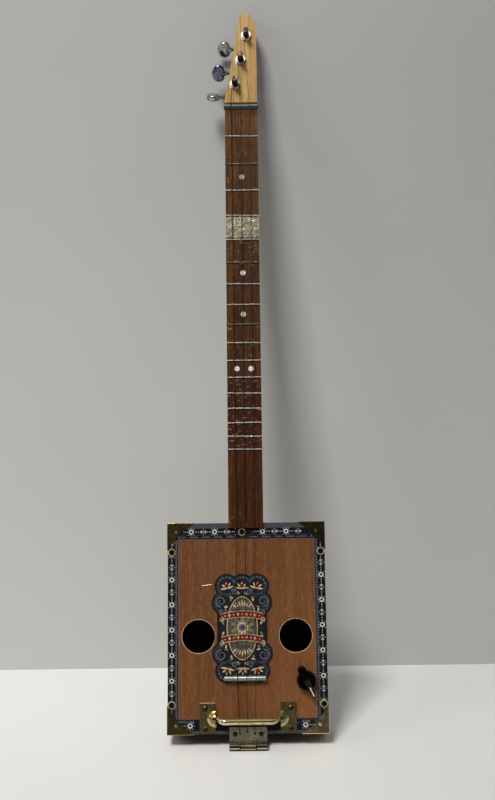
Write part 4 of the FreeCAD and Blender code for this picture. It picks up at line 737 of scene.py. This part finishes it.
def band_shape(low, high):
    """Corner points of a band right across the label, bent upwards in the middle."""
    shares = [step / 6 - 1 for step in range(13)]
    upper = [(band_reach * share, high + band_bend * (1 - share ** 2)) for share in shares]
    lower = [(x, z - (high - low)) for x, z in upper]
    return lower + upper[::-1]


def print_layer(name, ink, level, outlines):
    """One ink of the label, on a level of its own above the paper."""
    shapes = []
    for number, outline in enumerate(outlines):
        y = label_face - level * level_step - number % 7 * shape_step
        points = [(label_x + x * mm, y, label_z + z * mm) for x, z in outline]
        shapes.append(flat_print(name, points))
    finish_print(joined(shapes, name), label_inks[ink])


label_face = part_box("face_label")[0].y - 0.03 * mm
label_x, label_z = -5.2 * mm, 125.5 * mm
level_step, shape_step = 0.025 * mm, 0.003 * mm
lobe_right, lobe_up, lobe_radius, lobe_hollow = 16.5, 44.7, 10.9, 8.0
flank_right, flank_up = 19.6, 26.7
field_wide, field_tall = 24.0, 39.5
wreath_wide, wreath_tall = 19.4, 36.2
oval_wide, oval_tall = 16.8, 33.6
speck_reach, speck_radius = 9.3, 0.7
band_reach, band_bend = 22.5, 3.0
bands = ((8.5, 15.0), (-16.0, -9.5))
stud_middles, stud_run = (11.7, -12.8), 4.6
tail_middles = (9.2, -15.3)
rosette_up = 0.5

dress(plain_print("label_ground", (12, 12, 16), (38, 38, 44)), "face_label")
label_inks = {}
for ink, colour, worn, rubbed in (("slate", (54, 57, 64), (18, 19, 25), 0.85),
                                  ("steel", (112, 115, 122), (56, 58, 66), 0.5),
                                  ("cream", (190, 174, 132), (112, 101, 76), 0.5),
                                  ("leaf", (118, 116, 84), (58, 60, 50), 0.5),
                                  ("olive", (88, 82, 64), (38, 36, 40), 0.9),
                                  ("plum", (84, 76, 110), (48, 46, 72), 0.5),
                                  ("red", (116, 24, 28), (56, 18, 24), 0.5),
                                  ("dusk", (14, 14, 20), (42, 43, 52), 0.5)):
    label_inks[ink] = plain_print("label_" + ink, colour, worn, rubbed=rubbed)

lobes = [(side * lobe_right, end * lobe_up) for end in (-1, 1) for side in (-1, 0, 1)]
flanks = [(side * flank_right, end * flank_up) for end in (-1, 1) for side in (-1, 1)]
print_layer("label_lobe_grounds", "slate", 0,
            [round_shape(x, z, lobe_radius, lobe_radius) for x, z in lobes + flanks])
print_layer("label_lobe_hollows", "dusk", 1,
            [round_shape(x, z, lobe_hollow, lobe_hollow) for x, z in lobes + flanks])
print_layer("label_field", "dusk", 2, [round_shape(0, 0, field_wide, field_tall, 48)])
curls = []
for x, z in flanks:
    side, end = math.copysign(1, x), math.copysign(1, z)
    curls += [curl_shape(x + side * 3.2, z + end * 1.5, 6.0, -end * math.pi / 2, side * end),
              curl_shape(x + side * 1.6, z - end * 10.5, 3.6, end * math.pi / 2, -side * end, 0.8),
              curl_shape(side * 8.5, end * 38.2, 3.4, math.pi / 2 - side * end * 1.2, side * end, 0.8)]
print_layer("label_curls", "steel", 3, curls)
shells = []
specks = []
for x, z in lobes:
    outward = math.atan2(z, x * 0.6)
    shells += [leaf_shape(x - 3 * math.cos(outward), z - 3 * math.sin(outward), 7.6, 2.0, outward + spread)
               for spread in (-1.4, -0.7, 0, 0.7, 1.4)]
    for spread in (-1.05, -0.63, -0.21, 0.21, 0.63, 1.05):
        speck_x = x + speck_reach * math.cos(outward + spread)
        speck_z = z + speck_reach * math.sin(outward + spread)
        specks.append(round_shape(speck_x, speck_z, speck_radius, speck_radius, 8))
print_layer("label_shells", "cream", 3, shells)
print_layer("label_specks", "steel", 3, specks)
print_layer("label_shell_hearts", "red", 4, [round_shape(x, z, 2.2, 2.2, 16, 5, 0.12) for x, z in lobes])
for name, ink, level, inset in (("label_oval_edge", "cream", 4, 0.0), ("label_oval_line", "red", 5, 0.9),
                                ("label_oval", "olive", 6, 1.7)):
    print_layer(name, ink, level, [round_shape(0, 0, oval_wide - inset, oval_tall - inset, 48)])
wreaths = ([], [])
for step in range(32):
    angle = 2 * math.pi * (step + 0.5) / 32
    x, z = wreath_wide * math.cos(angle), wreath_tall * math.sin(angle)
    wreaths[step % 2].append(leaf_shape(x, z, 4.6, 2.2, angle + 0.9 * (-1) ** step))
print_layer("label_wreath", "cream", 4, wreaths[0])
print_layer("label_wreath_leaves", "leaf", 5, wreaths[1])
posy_leaves = [leaf_shape(0, rosette_up, 13.4, 4.4, math.pi * (step + 0.5) / 5) for step in range(10)]
print_layer("label_posy_leaves", "leaf", 7, posy_leaves)
bells = [leaf_shape(side * 7.0, end * 19.5, 5.6, 2.6, end * math.pi / 2 + side * end * spread)
         for side in (-1, 1) for end in (-1, 1) for spread in (-0.9, -0.3, 0.3)]
print_layer("label_bells", "plum", 7, bells)
print_layer("label_bands", "red", 8, [band_shape(low, high) for low, high in bands])
edge_lows = [edge for low, high in bands for edge in (high - 0.2, low - 0.4)]
print_layer("label_band_edges", "cream", 9, [band_shape(low, low + 0.6) for low in edge_lows])
studs = []
for middle in stud_middles:
    for step in range(-4, 5):
        x = step * stud_run
        z = middle + band_bend * (1 - (x / band_reach) ** 2)
        wide = 1.5 if step % 2 else 0.8
        studs.append([(x + wide, z), (x, z + 1.4 * wide), (x - wide, z), (x, z - 1.4 * wide)])
print_layer("label_band_studs", "cream", 9, studs)
tails = [curl_shape(side * 22.3, middle, 2.6, -side * math.pi / 2, side, 0.9)
         for side in (-1, 1) for middle in tail_middles]
print_layer("label_band_tails", "cream", 10, tails)
petals = [leaf_shape(0, rosette_up, 7.2, 3.2, math.pi * step / 5 + 0.2) for step in range(10)]
print_layer("label_rosette", "cream", 8, petals)
inner_petals = [leaf_shape(0, rosette_up, 4.4, 2.0, math.pi * step / 5) for step in range(10)]
print_layer("label_rosette_petals", "plum", 9, inner_petals)
print_layer("label_rosette_heart", "red", 10, [round_shape(0, rosette_up, 2.0, 2.0, 20, 6, 0.1)])
sprays = []
for end in (-1, 1):
    for step in range(-3, 4):
        turn = end * math.pi / 2 - end * step * 0.28
        sprays.append(leaf_shape(step * 1.9, end * (23.0 - abs(step) * 0.6), 6.4, 1.7, turn))
print_layer("label_sprays", "cream", 8, sprays)

# Staple: a steel wire staple left in the box face. The light catches its flat back, so it
# looks nearly white.
rusty, tree, shader, colour = metal_finish(
    "staple_wire", (236, 234, 230), (176, 164, 152), smooth=0.3, rough=0.5)
shader.inputs["Metallic"].default_value = 0.4
dress(rusty, "face_staple")

# Box corners: thin brass sheet folded over the box edges, darkened with age, each held by
# small brass nails with round heads. The lower right one has a painted highlight where it
# catches the light, and the upper right one is painted darker.
right_side = (0.0, 30 * mm)
highlit_end, darker_end = (90 * mm, 50 * mm), (120 * mm, 180 * mm)
corner_brass, tree, shader, colour = metal_finish(
    "corner_brass", (166, 150, 98), (138, 124, 78), smooth=0.18, rough=0.3, share=0.5, scratches=0.25,
    depth=0.02)
split = axes(tree, own_place(tree))
# Painted highlight on the lower right corner; the upper right one is painted darker.
for end, painted_share, shade in ((highlit_end, 0.95, (248, 226, 172)), (darker_end, 0.7, (108, 98, 68))):
    here = times(tree, ease(tree, split["X"], *right_side), ease(tree, split["Z"], *end))
    colour = stain(tree, colour, here, painted_share, shade)
wire(tree, shader, Base_Color=colour)
dress(corner_brass, "box_corners", "corner_nails")


# Handle: two brass plates screwed to the front, each with half a dome pressed in it, and a
# polished round bail whose ends turn in the domes. The right plate is a little greener. On the
# plates, painted shade darkens each dome's hollow, and a painted highlight lights a crescent
# round its lower rim and the upper edge of the left plate.
def lacquer(shader, weight, roughness):
    """A clear coat over the metal."""
    shader.inputs["Coat Weight"].default_value = weight
    shader.inputs["Coat Roughness"].default_value = roughness


def distance(tree, first, second):
    """How far off a place is, from how far off it is in two directions."""
    squares = reckon(tree, "ADD", times(tree, first, first), times(tree, second, second))
    return reckon(tree, "SQRT", squares)


pivot_height = 31.7 * mm
plate_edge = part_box("handle_plate_right")[0].x
plate_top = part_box("handle_plate_left")[1].z
dome_hollow_shade = (6.4 * mm, 4.8 * mm)
dome_ridge, ridge_half = 7.6 * mm, 1.1 * mm
ridge_end = (3 * mm, -1 * mm)
lit_edge = (plate_top - 0.9 * mm, plate_top - 0.6 * mm)
plate_brass, tree, shader, colour = metal_finish(
    "plate_brass", (216, 193, 133), (194, 171, 113), smooth=0.2, rough=0.32, share=0.5, scratches=0.3,
    depth=0.02)
lacquer(shader, 0.5, 0.16)
split = axes(tree, own_place(tree))
across, height = split["X"], split["Z"]
greener = blend(tree, 1.0, colour, (0.84, 0.98, 1, 1), "MULTIPLY")
colour = blend(tree, reckon(tree, "GREATER_THAN", across, 0.0), colour, greener)
from_edge = reckon(tree, "SUBTRACT", reckon(tree, "ABSOLUTE", across), plate_edge)
from_pivot = reckon(tree, "SUBTRACT", height, pivot_height)
reach = distance(tree, from_edge, from_pivot)
# Painted shade in the hollow of each dome.
colour = glaze(tree, colour, reach, *dome_hollow_shade, 0.75, (78, 74, 48))
# Painted highlights: a crescent round the lower rim of each dome and the upper edge of the left plate, less
# metallic there.
lit_crescent = times(tree, near(tree, reach, dome_ridge, ridge_half), ease(tree, from_pivot, *ridge_end))
lit_upper_edge = times(tree, ease(tree, height, *lit_edge), reckon(tree, "LESS_THAN", across, 0.0))
rubbed = reckon(tree, "MAXIMUM", lit_crescent, lit_upper_edge)
colour = blend(tree, rubbed, colour, rgb(240, 226, 178))
wire(tree, shader, Base_Color=colour, Metallic=ease(tree, rubbed, 0.0, 1.0, 1.0, 0.6))
dress(plate_brass, "handle_plate_left", "handle_plate_right")
bail_brass, tree, shader, colour = metal_finish(
    "nail_brass", (222, 206, 152), (156, 138, 90), smooth=0.08, rough=0.2, share=0.5, scratches=0.3,
    depth=0.015)
lacquer(shader, 0.5, 0.1)
dress(bail_brass, "handle_bail")

# Panel screws: brass wood screws in dished cup washers, four down the sides and one at the
# top of the front. The screws have darkened, and so have those of the handle.
cup_brass, tree, shader, colour = metal_finish(
    "screw_brass", (238, 222, 180), (188, 164, 112), smooth=0.3, rough=0.46, share=0.4, scratches=0.3,
    depth=0.02)
shader.inputs["Metallic"].default_value = 0.72
dress(cup_brass, "panel_cup_washers")
dress_in_metal(("panel_screws", "handle_screws"), "dark_screw", (74, 62, 38), (36, 30, 20),
               smooth=0.3, rough=0.46, scratches=0.3)

# Tail hinge: a small nickel plated butt hinge. Two screws hold its rear leaf to the end of
# the neck stick, and the front leaf stands before the box with the strings through it.
barrel_top = 7.85 * mm
knuckle_half = 8.5 * mm
gap_middle, gap_half = 8.65 * mm, 0.55 * mm
outer_highlight, outer_highlight_half = 2.2 * mm, 0.55 * mm
middle_highlights, middle_highlight_half = (1.5 * mm, 4.7 * mm), 0.45 * mm
hinge_nickel, tree, shader, colour = metal_finish(
    "hinge_nickel", (206, 200, 170), (184, 178, 150), smooth=0.26, rough=0.38, share=0.5, scratches=0.3,
    depth=0.02)
split = axes(tree, own_place(tree))
barrel = reckon(tree, "LESS_THAN", split["Z"], barrel_top)
from_middle = reckon(tree, "ABSOLUTE", split["X"])
middle_knuckle = reckon(tree, "LESS_THAN", from_middle, knuckle_half)
outer_knuckle = reckon(tree, "SUBTRACT", 1.0, middle_knuckle)
brassy = times(tree, middle_knuckle, barrel)
colour = blend(tree, brassy, colour, rgb(198, 182, 132))
# Painted reflection: the barrel is darkened all over, standing in for the dark room it faces, except along
# thin lines left bright as painted highlights. The gaps between the knuckles are dark joints.
highlight_lines = times(tree, outer_knuckle, near(tree, split["Z"], outer_highlight, outer_highlight_half))
for line in middle_highlights:
    here = near(tree, split["Z"], line, middle_highlight_half)
    highlight_lines = reckon(tree, "ADD", highlight_lines, times(tree, middle_knuckle, here))
painted_shade = reckon(tree, "SUBTRACT", 1.0, reckon(tree, "MINIMUM", highlight_lines, 1.0))
gap = near(tree, from_middle, gap_middle, gap_half)
painted_shade = reckon(tree, "MAXIMUM", times(tree, painted_shade, 0.93), gap)
colour = blend(tree, times(tree, barrel, painted_shade), colour, rgb(34, 30, 22))
wire(tree, shader, Base_Color=colour)
dress(hinge_nickel, "tail_hinge_front_leaf", "tail_hinge_rear_leaf", "tail_hinge_pin")
dress_in_metal(("tail_hinge_screws", "tuner_mount_screws"), "screw_steel", (176, 172, 160), (116, 110, 98),
               smooth=0.24, rough=0.46, scratches=0.4, depth=0.04)

# Volume knob: a glossy black pointer knob with a white line, held on its shaft by a small
# set screw.
knob_black, tree, shader = bare_finish("knob_black", Specular_IOR_Level=0.05, Coat_Weight=0.35,
                                       Coat_Roughness=0.08)
dust = speckle(tree, own_place(tree), 700.0, 3.0)
wire(tree, shader, Base_Color=shades(tree, dust, [(0.4, rgb(4, 3, 3)), (0.72, rgb(10, 8, 7))]),
     Roughness=ease(tree, dust, 0.4, 0.7, 0.14, 0.26))
relief(tree, shader, dust, 0.01 * mm)
dress(knob_black, "volume_knob")
dress(plain_print("pointer_white", (236, 235, 228), (178, 174, 164), 0.35), "knob_pointer_line")
dress_in_metal(("knob_set_screw",), "set_screw_steel", (150, 148, 142), (84, 82, 78), smooth=0.2, rough=0.45)

# Pickup parts behind the face: the volume pot and its nut, a brass piezo disc glued under
# the bridge, the output jack in the foot of the box, and the leads between them.
dress_in_metal(("volume_pot_case", "volume_pot_nut", "volume_pot_shaft"), "pot_metal",
               (188, 187, 182), (126, 124, 118), smooth=0.24, rough=0.46)
disc_low, disc_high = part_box("piezo_disc")
disc_wide = disc_high.x - disc_low.x
ceramic_edge = (0.3 * disc_wide, 0.29 * disc_wide)
piezo, tree, shader, colour = metal_finish(
    "piezo_brass", (206, 174, 108), (168, 140, 88), smooth=0.25, rough=0.45)
split = axes(tree, own_place(tree))
off_x = reckon(tree, "SUBTRACT", split["X"], (disc_low.x + disc_high.x) / 2)
off_z = reckon(tree, "SUBTRACT", split["Z"], (disc_low.z + disc_high.z) / 2)
ceramic = ease(tree, distance(tree, off_x, off_z), *ceramic_edge)
wire(tree, shader, Base_Color=blend(tree, ceramic, colour, rgb(214, 210, 198)),
     Metallic=reckon(tree, "SUBTRACT", 1.0, ceramic))
dress(piezo, "piezo_disc")
dress_in_metal(("output_jack", "output_jack_nut"), "jack_nickel", (204, 202, 196), (136, 132, 126),
               smooth=0.16, rough=0.36)
lead_cover, tree, shader = bare_finish("lead_insulation", Roughness=0.5)
wear = speckle(tree, own_place(tree), 320.0, 3.0)
wire(tree, shader, Base_Color=shades(tree, wear, [(0.4, rgb(108, 20, 20)), (0.7, rgb(132, 30, 26))]))
relief(tree, shader, wear, 0.03 * mm)
dress(lead_cover, "internal_leads")

# Strings: the two thin ones are plain steel, and the bass is wound with bronze. Each ends
# in a few turns on its post.
# The strings and their turns are coloured darker than bare metal, partly as painted shade for the shadows
# they cast.
dress_in_metal(("string_middle", "string_treble"), "string_steel", (60, 50, 38), (30, 24, 18),
               smooth=0.3, rough=0.46, share=0.8, scratches=0.0, depth=0.01)
string_bronze, tree, shader, colour = metal_finish(
    "string_bronze", (70, 46, 26), (38, 26, 16), smooth=0.3, rough=0.46, share=0.8, scratches=0.0,
    depth=0.01)
winding = put(tree, "ShaderNodeTexWave", {"Vector": own_place(tree), "Scale": 500.0}, bands_direction="Z")
relief(tree, shader, winding.outputs["Fac"], 0.06 * mm)
dress(string_bronze, "string_bass")
dress_in_metal(("string_wrap_1", "string_wrap_2", "string_wrap_3"), "wrap_wire", (58, 50, 44), (26, 22, 19),
               smooth=0.26, rough=0.42, share=0.8, scratches=0.0, depth=0.01)

# Tuners: three closed chrome machine heads, screwed to the back of the headstock, each
# with a worm and wheel inside, an oval button and a bushing through the wood.
dress_in_metal(("tuner_base_plates", "tuner_housing_1", "tuner_housing_2", "tuner_housing_3"),
               "tuner_chrome", (212, 212, 212), (150, 150, 152),
               smooth=0.1, rough=0.26, share=0.5, scratches=0.35, depth=0.015)
dress_in_metal(("tuner_bushings", "tuner_washers"), "washer_chrome", (214, 210, 204), (140, 136, 130),
               smooth=0.26, rough=0.42, share=0.6, scratches=0.3, depth=0.015)
# Each button has its own copy of the chrome, coloured for what it reflects: the middle one tinted dark navy
# as a painted reflection, the others light grey.
for number, bright, dull in ((1, (166, 168, 174), (110, 112, 120)), (2, (100, 105, 122), (62, 66, 82)),
                             (3, (166, 168, 172), (104, 106, 112))):
    dress_in_metal((f"tuner_button_{number}",), f"button_painted_reflection_{number}", bright, dull,
                   smooth=0.12, rough=0.26, share=0.6, scratches=0.3, depth=0.015)
# The posts are coloured dark as a painted reflection of their chrome, and their tips carry a painted
# highlight.
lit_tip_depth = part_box("tuner_post_1")[0].y + 0.5 * mm
post_steel, tree, shader, colour = metal_finish(
    "tuner_post_steel", (78, 70, 66), (28, 24, 22), smooth=0.1, rough=0.26, share=0.9, scratches=0.2,
    depth=0.02)
tip_highlight = reckon(tree, "LESS_THAN", axes(tree, own_place(tree))["Y"], lit_tip_depth)
wire(tree, shader, Base_Color=stain(tree, colour, tip_highlight, 0.8, (150, 146, 140)))
dress(post_steel, "tuner_post_1", "tuner_post_2", "tuner_post_3")
dress_in_metal(("tuner_worm_1", "tuner_worm_2", "tuner_worm_3"), "worm_steel",
               (116, 108, 100), (58, 50, 44), smooth=0.2, rough=0.4)


# Wall and floor: the instrument stands on a plain pale board and leans back on a plain
# pale wall. It stays upright here, so both are tilted by its lean. Each shows only from
# its front, and painted shade dims each a little along it and to one side.
def stage_finish(name, colour, roughness, axis, bright_at, dim_at, dim_share):
    """Matt paint with painted shade: it dims to a share of its colour along one axis, and to the right."""
    finish, tree, shader = bare_finish(name, Roughness=roughness)
    place = own_place(tree)
    split = axes(tree, place)
    colour = rgb(*colour)
    paler = tuple(part * 1.05 for part in colour[:3]) + (1,)
    shade = shades(tree, speckle(tree, place, 3.0, 4.0), [(0.3, colour), (0.7, paler)])
    painted_shade_right = ease(tree, split["X"], *painted_shade_span, 1.0, 0.89)
    level = times(tree, ease(tree, split[axis], bright_at, dim_at, 1.0, dim_share), painted_shade_right)
    shade = put(tree, "ShaderNodeVectorMath", {0: shade, 3: level}, operation="SCALE").outputs[0]
    wire(tree, shader, Base_Color=shade)
    clear = put(tree, "ShaderNodeBsdfTransparent")
    behind = put(tree, "ShaderNodeNewGeometry").outputs["Backfacing"]
    one_sided = put(tree, "ShaderNodeMixShader", {0: behind, 1: shader.outputs[0], 2: clear.outputs[0]})
    wire(tree, tree.nodes["Material Output"], Surface=one_sided.outputs[0])
    return finish


edge_y, edge_z = 217 * mm, 63.5 * mm
wall_lean = math.radians(15)
painted_shade_span = (-100 * mm, 320 * mm)
floor_bright_at, floor_dim_at = 120 * mm, -350 * mm
wall_bright_at, wall_dim_at = 100 * mm, 850 * mm
stage_wide, floor_deep, wall_high = 9, 3, 2.4
bpy.ops.object.select_all(action="DESELECT")
bpy.ops.mesh.primitive_plane_add(size=1, location=(0, edge_y - floor_deep / 2, edge_z))
floor = named("floor", (stage_wide, floor_deep, 1))
choose(floor, lambda corner: corner.y < 0)
bpy.ops.transform.translate(value=(0, 0, -floor_deep * math.tan(wall_lean)))
bpy.ops.object.mode_set(mode="OBJECT")
floor.data.materials.append(stage_finish(
    "floor_board", (216, 216, 213), 0.45, "Y", floor_bright_at, floor_dim_at, 0.86))

bpy.ops.object.select_all(action="DESELECT")
bpy.ops.mesh.primitive_plane_add(size=1, location=(0, edge_y, edge_z + wall_high / 2), rotation=upright)
wall = named("wall", (stage_wide, wall_high, 1))
choose(wall, lambda corner: corner.z > wall_high / 2)
bpy.ops.transform.translate(value=(0, -wall_high * math.tan(wall_lean), 0))
bpy.ops.object.mode_set(mode="OBJECT")
wall.data.materials.append(stage_finish(
    "wall_paint", (187, 187, 184), 0.7, "Z", wall_bright_at, wall_dim_at, 0.7))


# Light: a large soft lamp high on the left, and a faint one at the side. Both face the
# lower part of the neck.
def lamp(name, place, width, power, colour):
    """A square soft box that faces the instrument."""
    light = bpy.data.lights.new(name, "AREA")
    light.size = width
    light.energy = power
    light.color = colour
    holder = bpy.data.objects.new(name, light)
    holder.location = place
    holder.rotation_euler = (lit_middle - Vector(place)).to_track_quat("-Z", "Y").to_euler()
    bpy.context.scene.collection.objects.link(holder)


lit_middle = Vector((0, 0, 0.35))
lamp("ceiling_lamp", (-1.15, -3.2, 3.3), 1.2, 194, (1, 0.993, 0.98))
lamp("side_lamp", (-2.2, -1.3, 1.2), 0.8, 10, (1, 0.995, 0.985))

# Room: a bright ceiling and a dim side towards the viewer, so that polished metal has
# something light above it and something dark in front. Past the wall it looks plain pale.
room = bpy.data.worlds.new("room")
bpy.context.scene.world = room
room.use_nodes = True
sky = room.node_tree
heading = axes(sky, put(sky, "ShaderNodeTexCoord").outputs["Generated"])
above = shades(sky, heading["Z"],
               [(0.0, (0.05, 0.045, 0.04, 1)), (0.25, (0.1, 0.1, 0.1, 1)), (0.75, (0.8, 0.8, 0.8, 1))])
aside = reckon(sky, "ABSOLUTE", heading["X"])
around = blend(sky, ease(sky, aside, 0.45, 0.85, 0.0, 0.7), above, (0.6, 0.6, 0.6, 1))
seen = put(sky, "ShaderNodeLightPath").outputs["Is Camera Ray"]
around = blend(sky, seen, around, (1, 1, 0.98, 1))
wire(sky, sky.nodes["Background"], Color=around)
sky.nodes["Background"].inputs["Strength"].default_value = 0.54

# Camera: it stands low in front of the box, a little to the right, and looks up the neck
# with a normal lens, as the picture of the instrument was taken.
lens_camera = bpy.data.cameras.new("camera")
lens_camera.sensor_fit = "VERTICAL"
lens_camera.sensor_height = 24
lens_camera.lens = 30
camera = bpy.data.objects.new("camera", lens_camera)
camera.location = (0.00345, -1.1204, 0.1848)
camera.rotation_mode = "ZYX"
camera.rotation_euler = (math.radians(99.763), 0, math.radians(-0.698))
bpy.context.scene.collection.objects.link(camera)
bpy.context.scene.camera = camera
bpy.context.scene.view_settings.view_transform = "Standard"
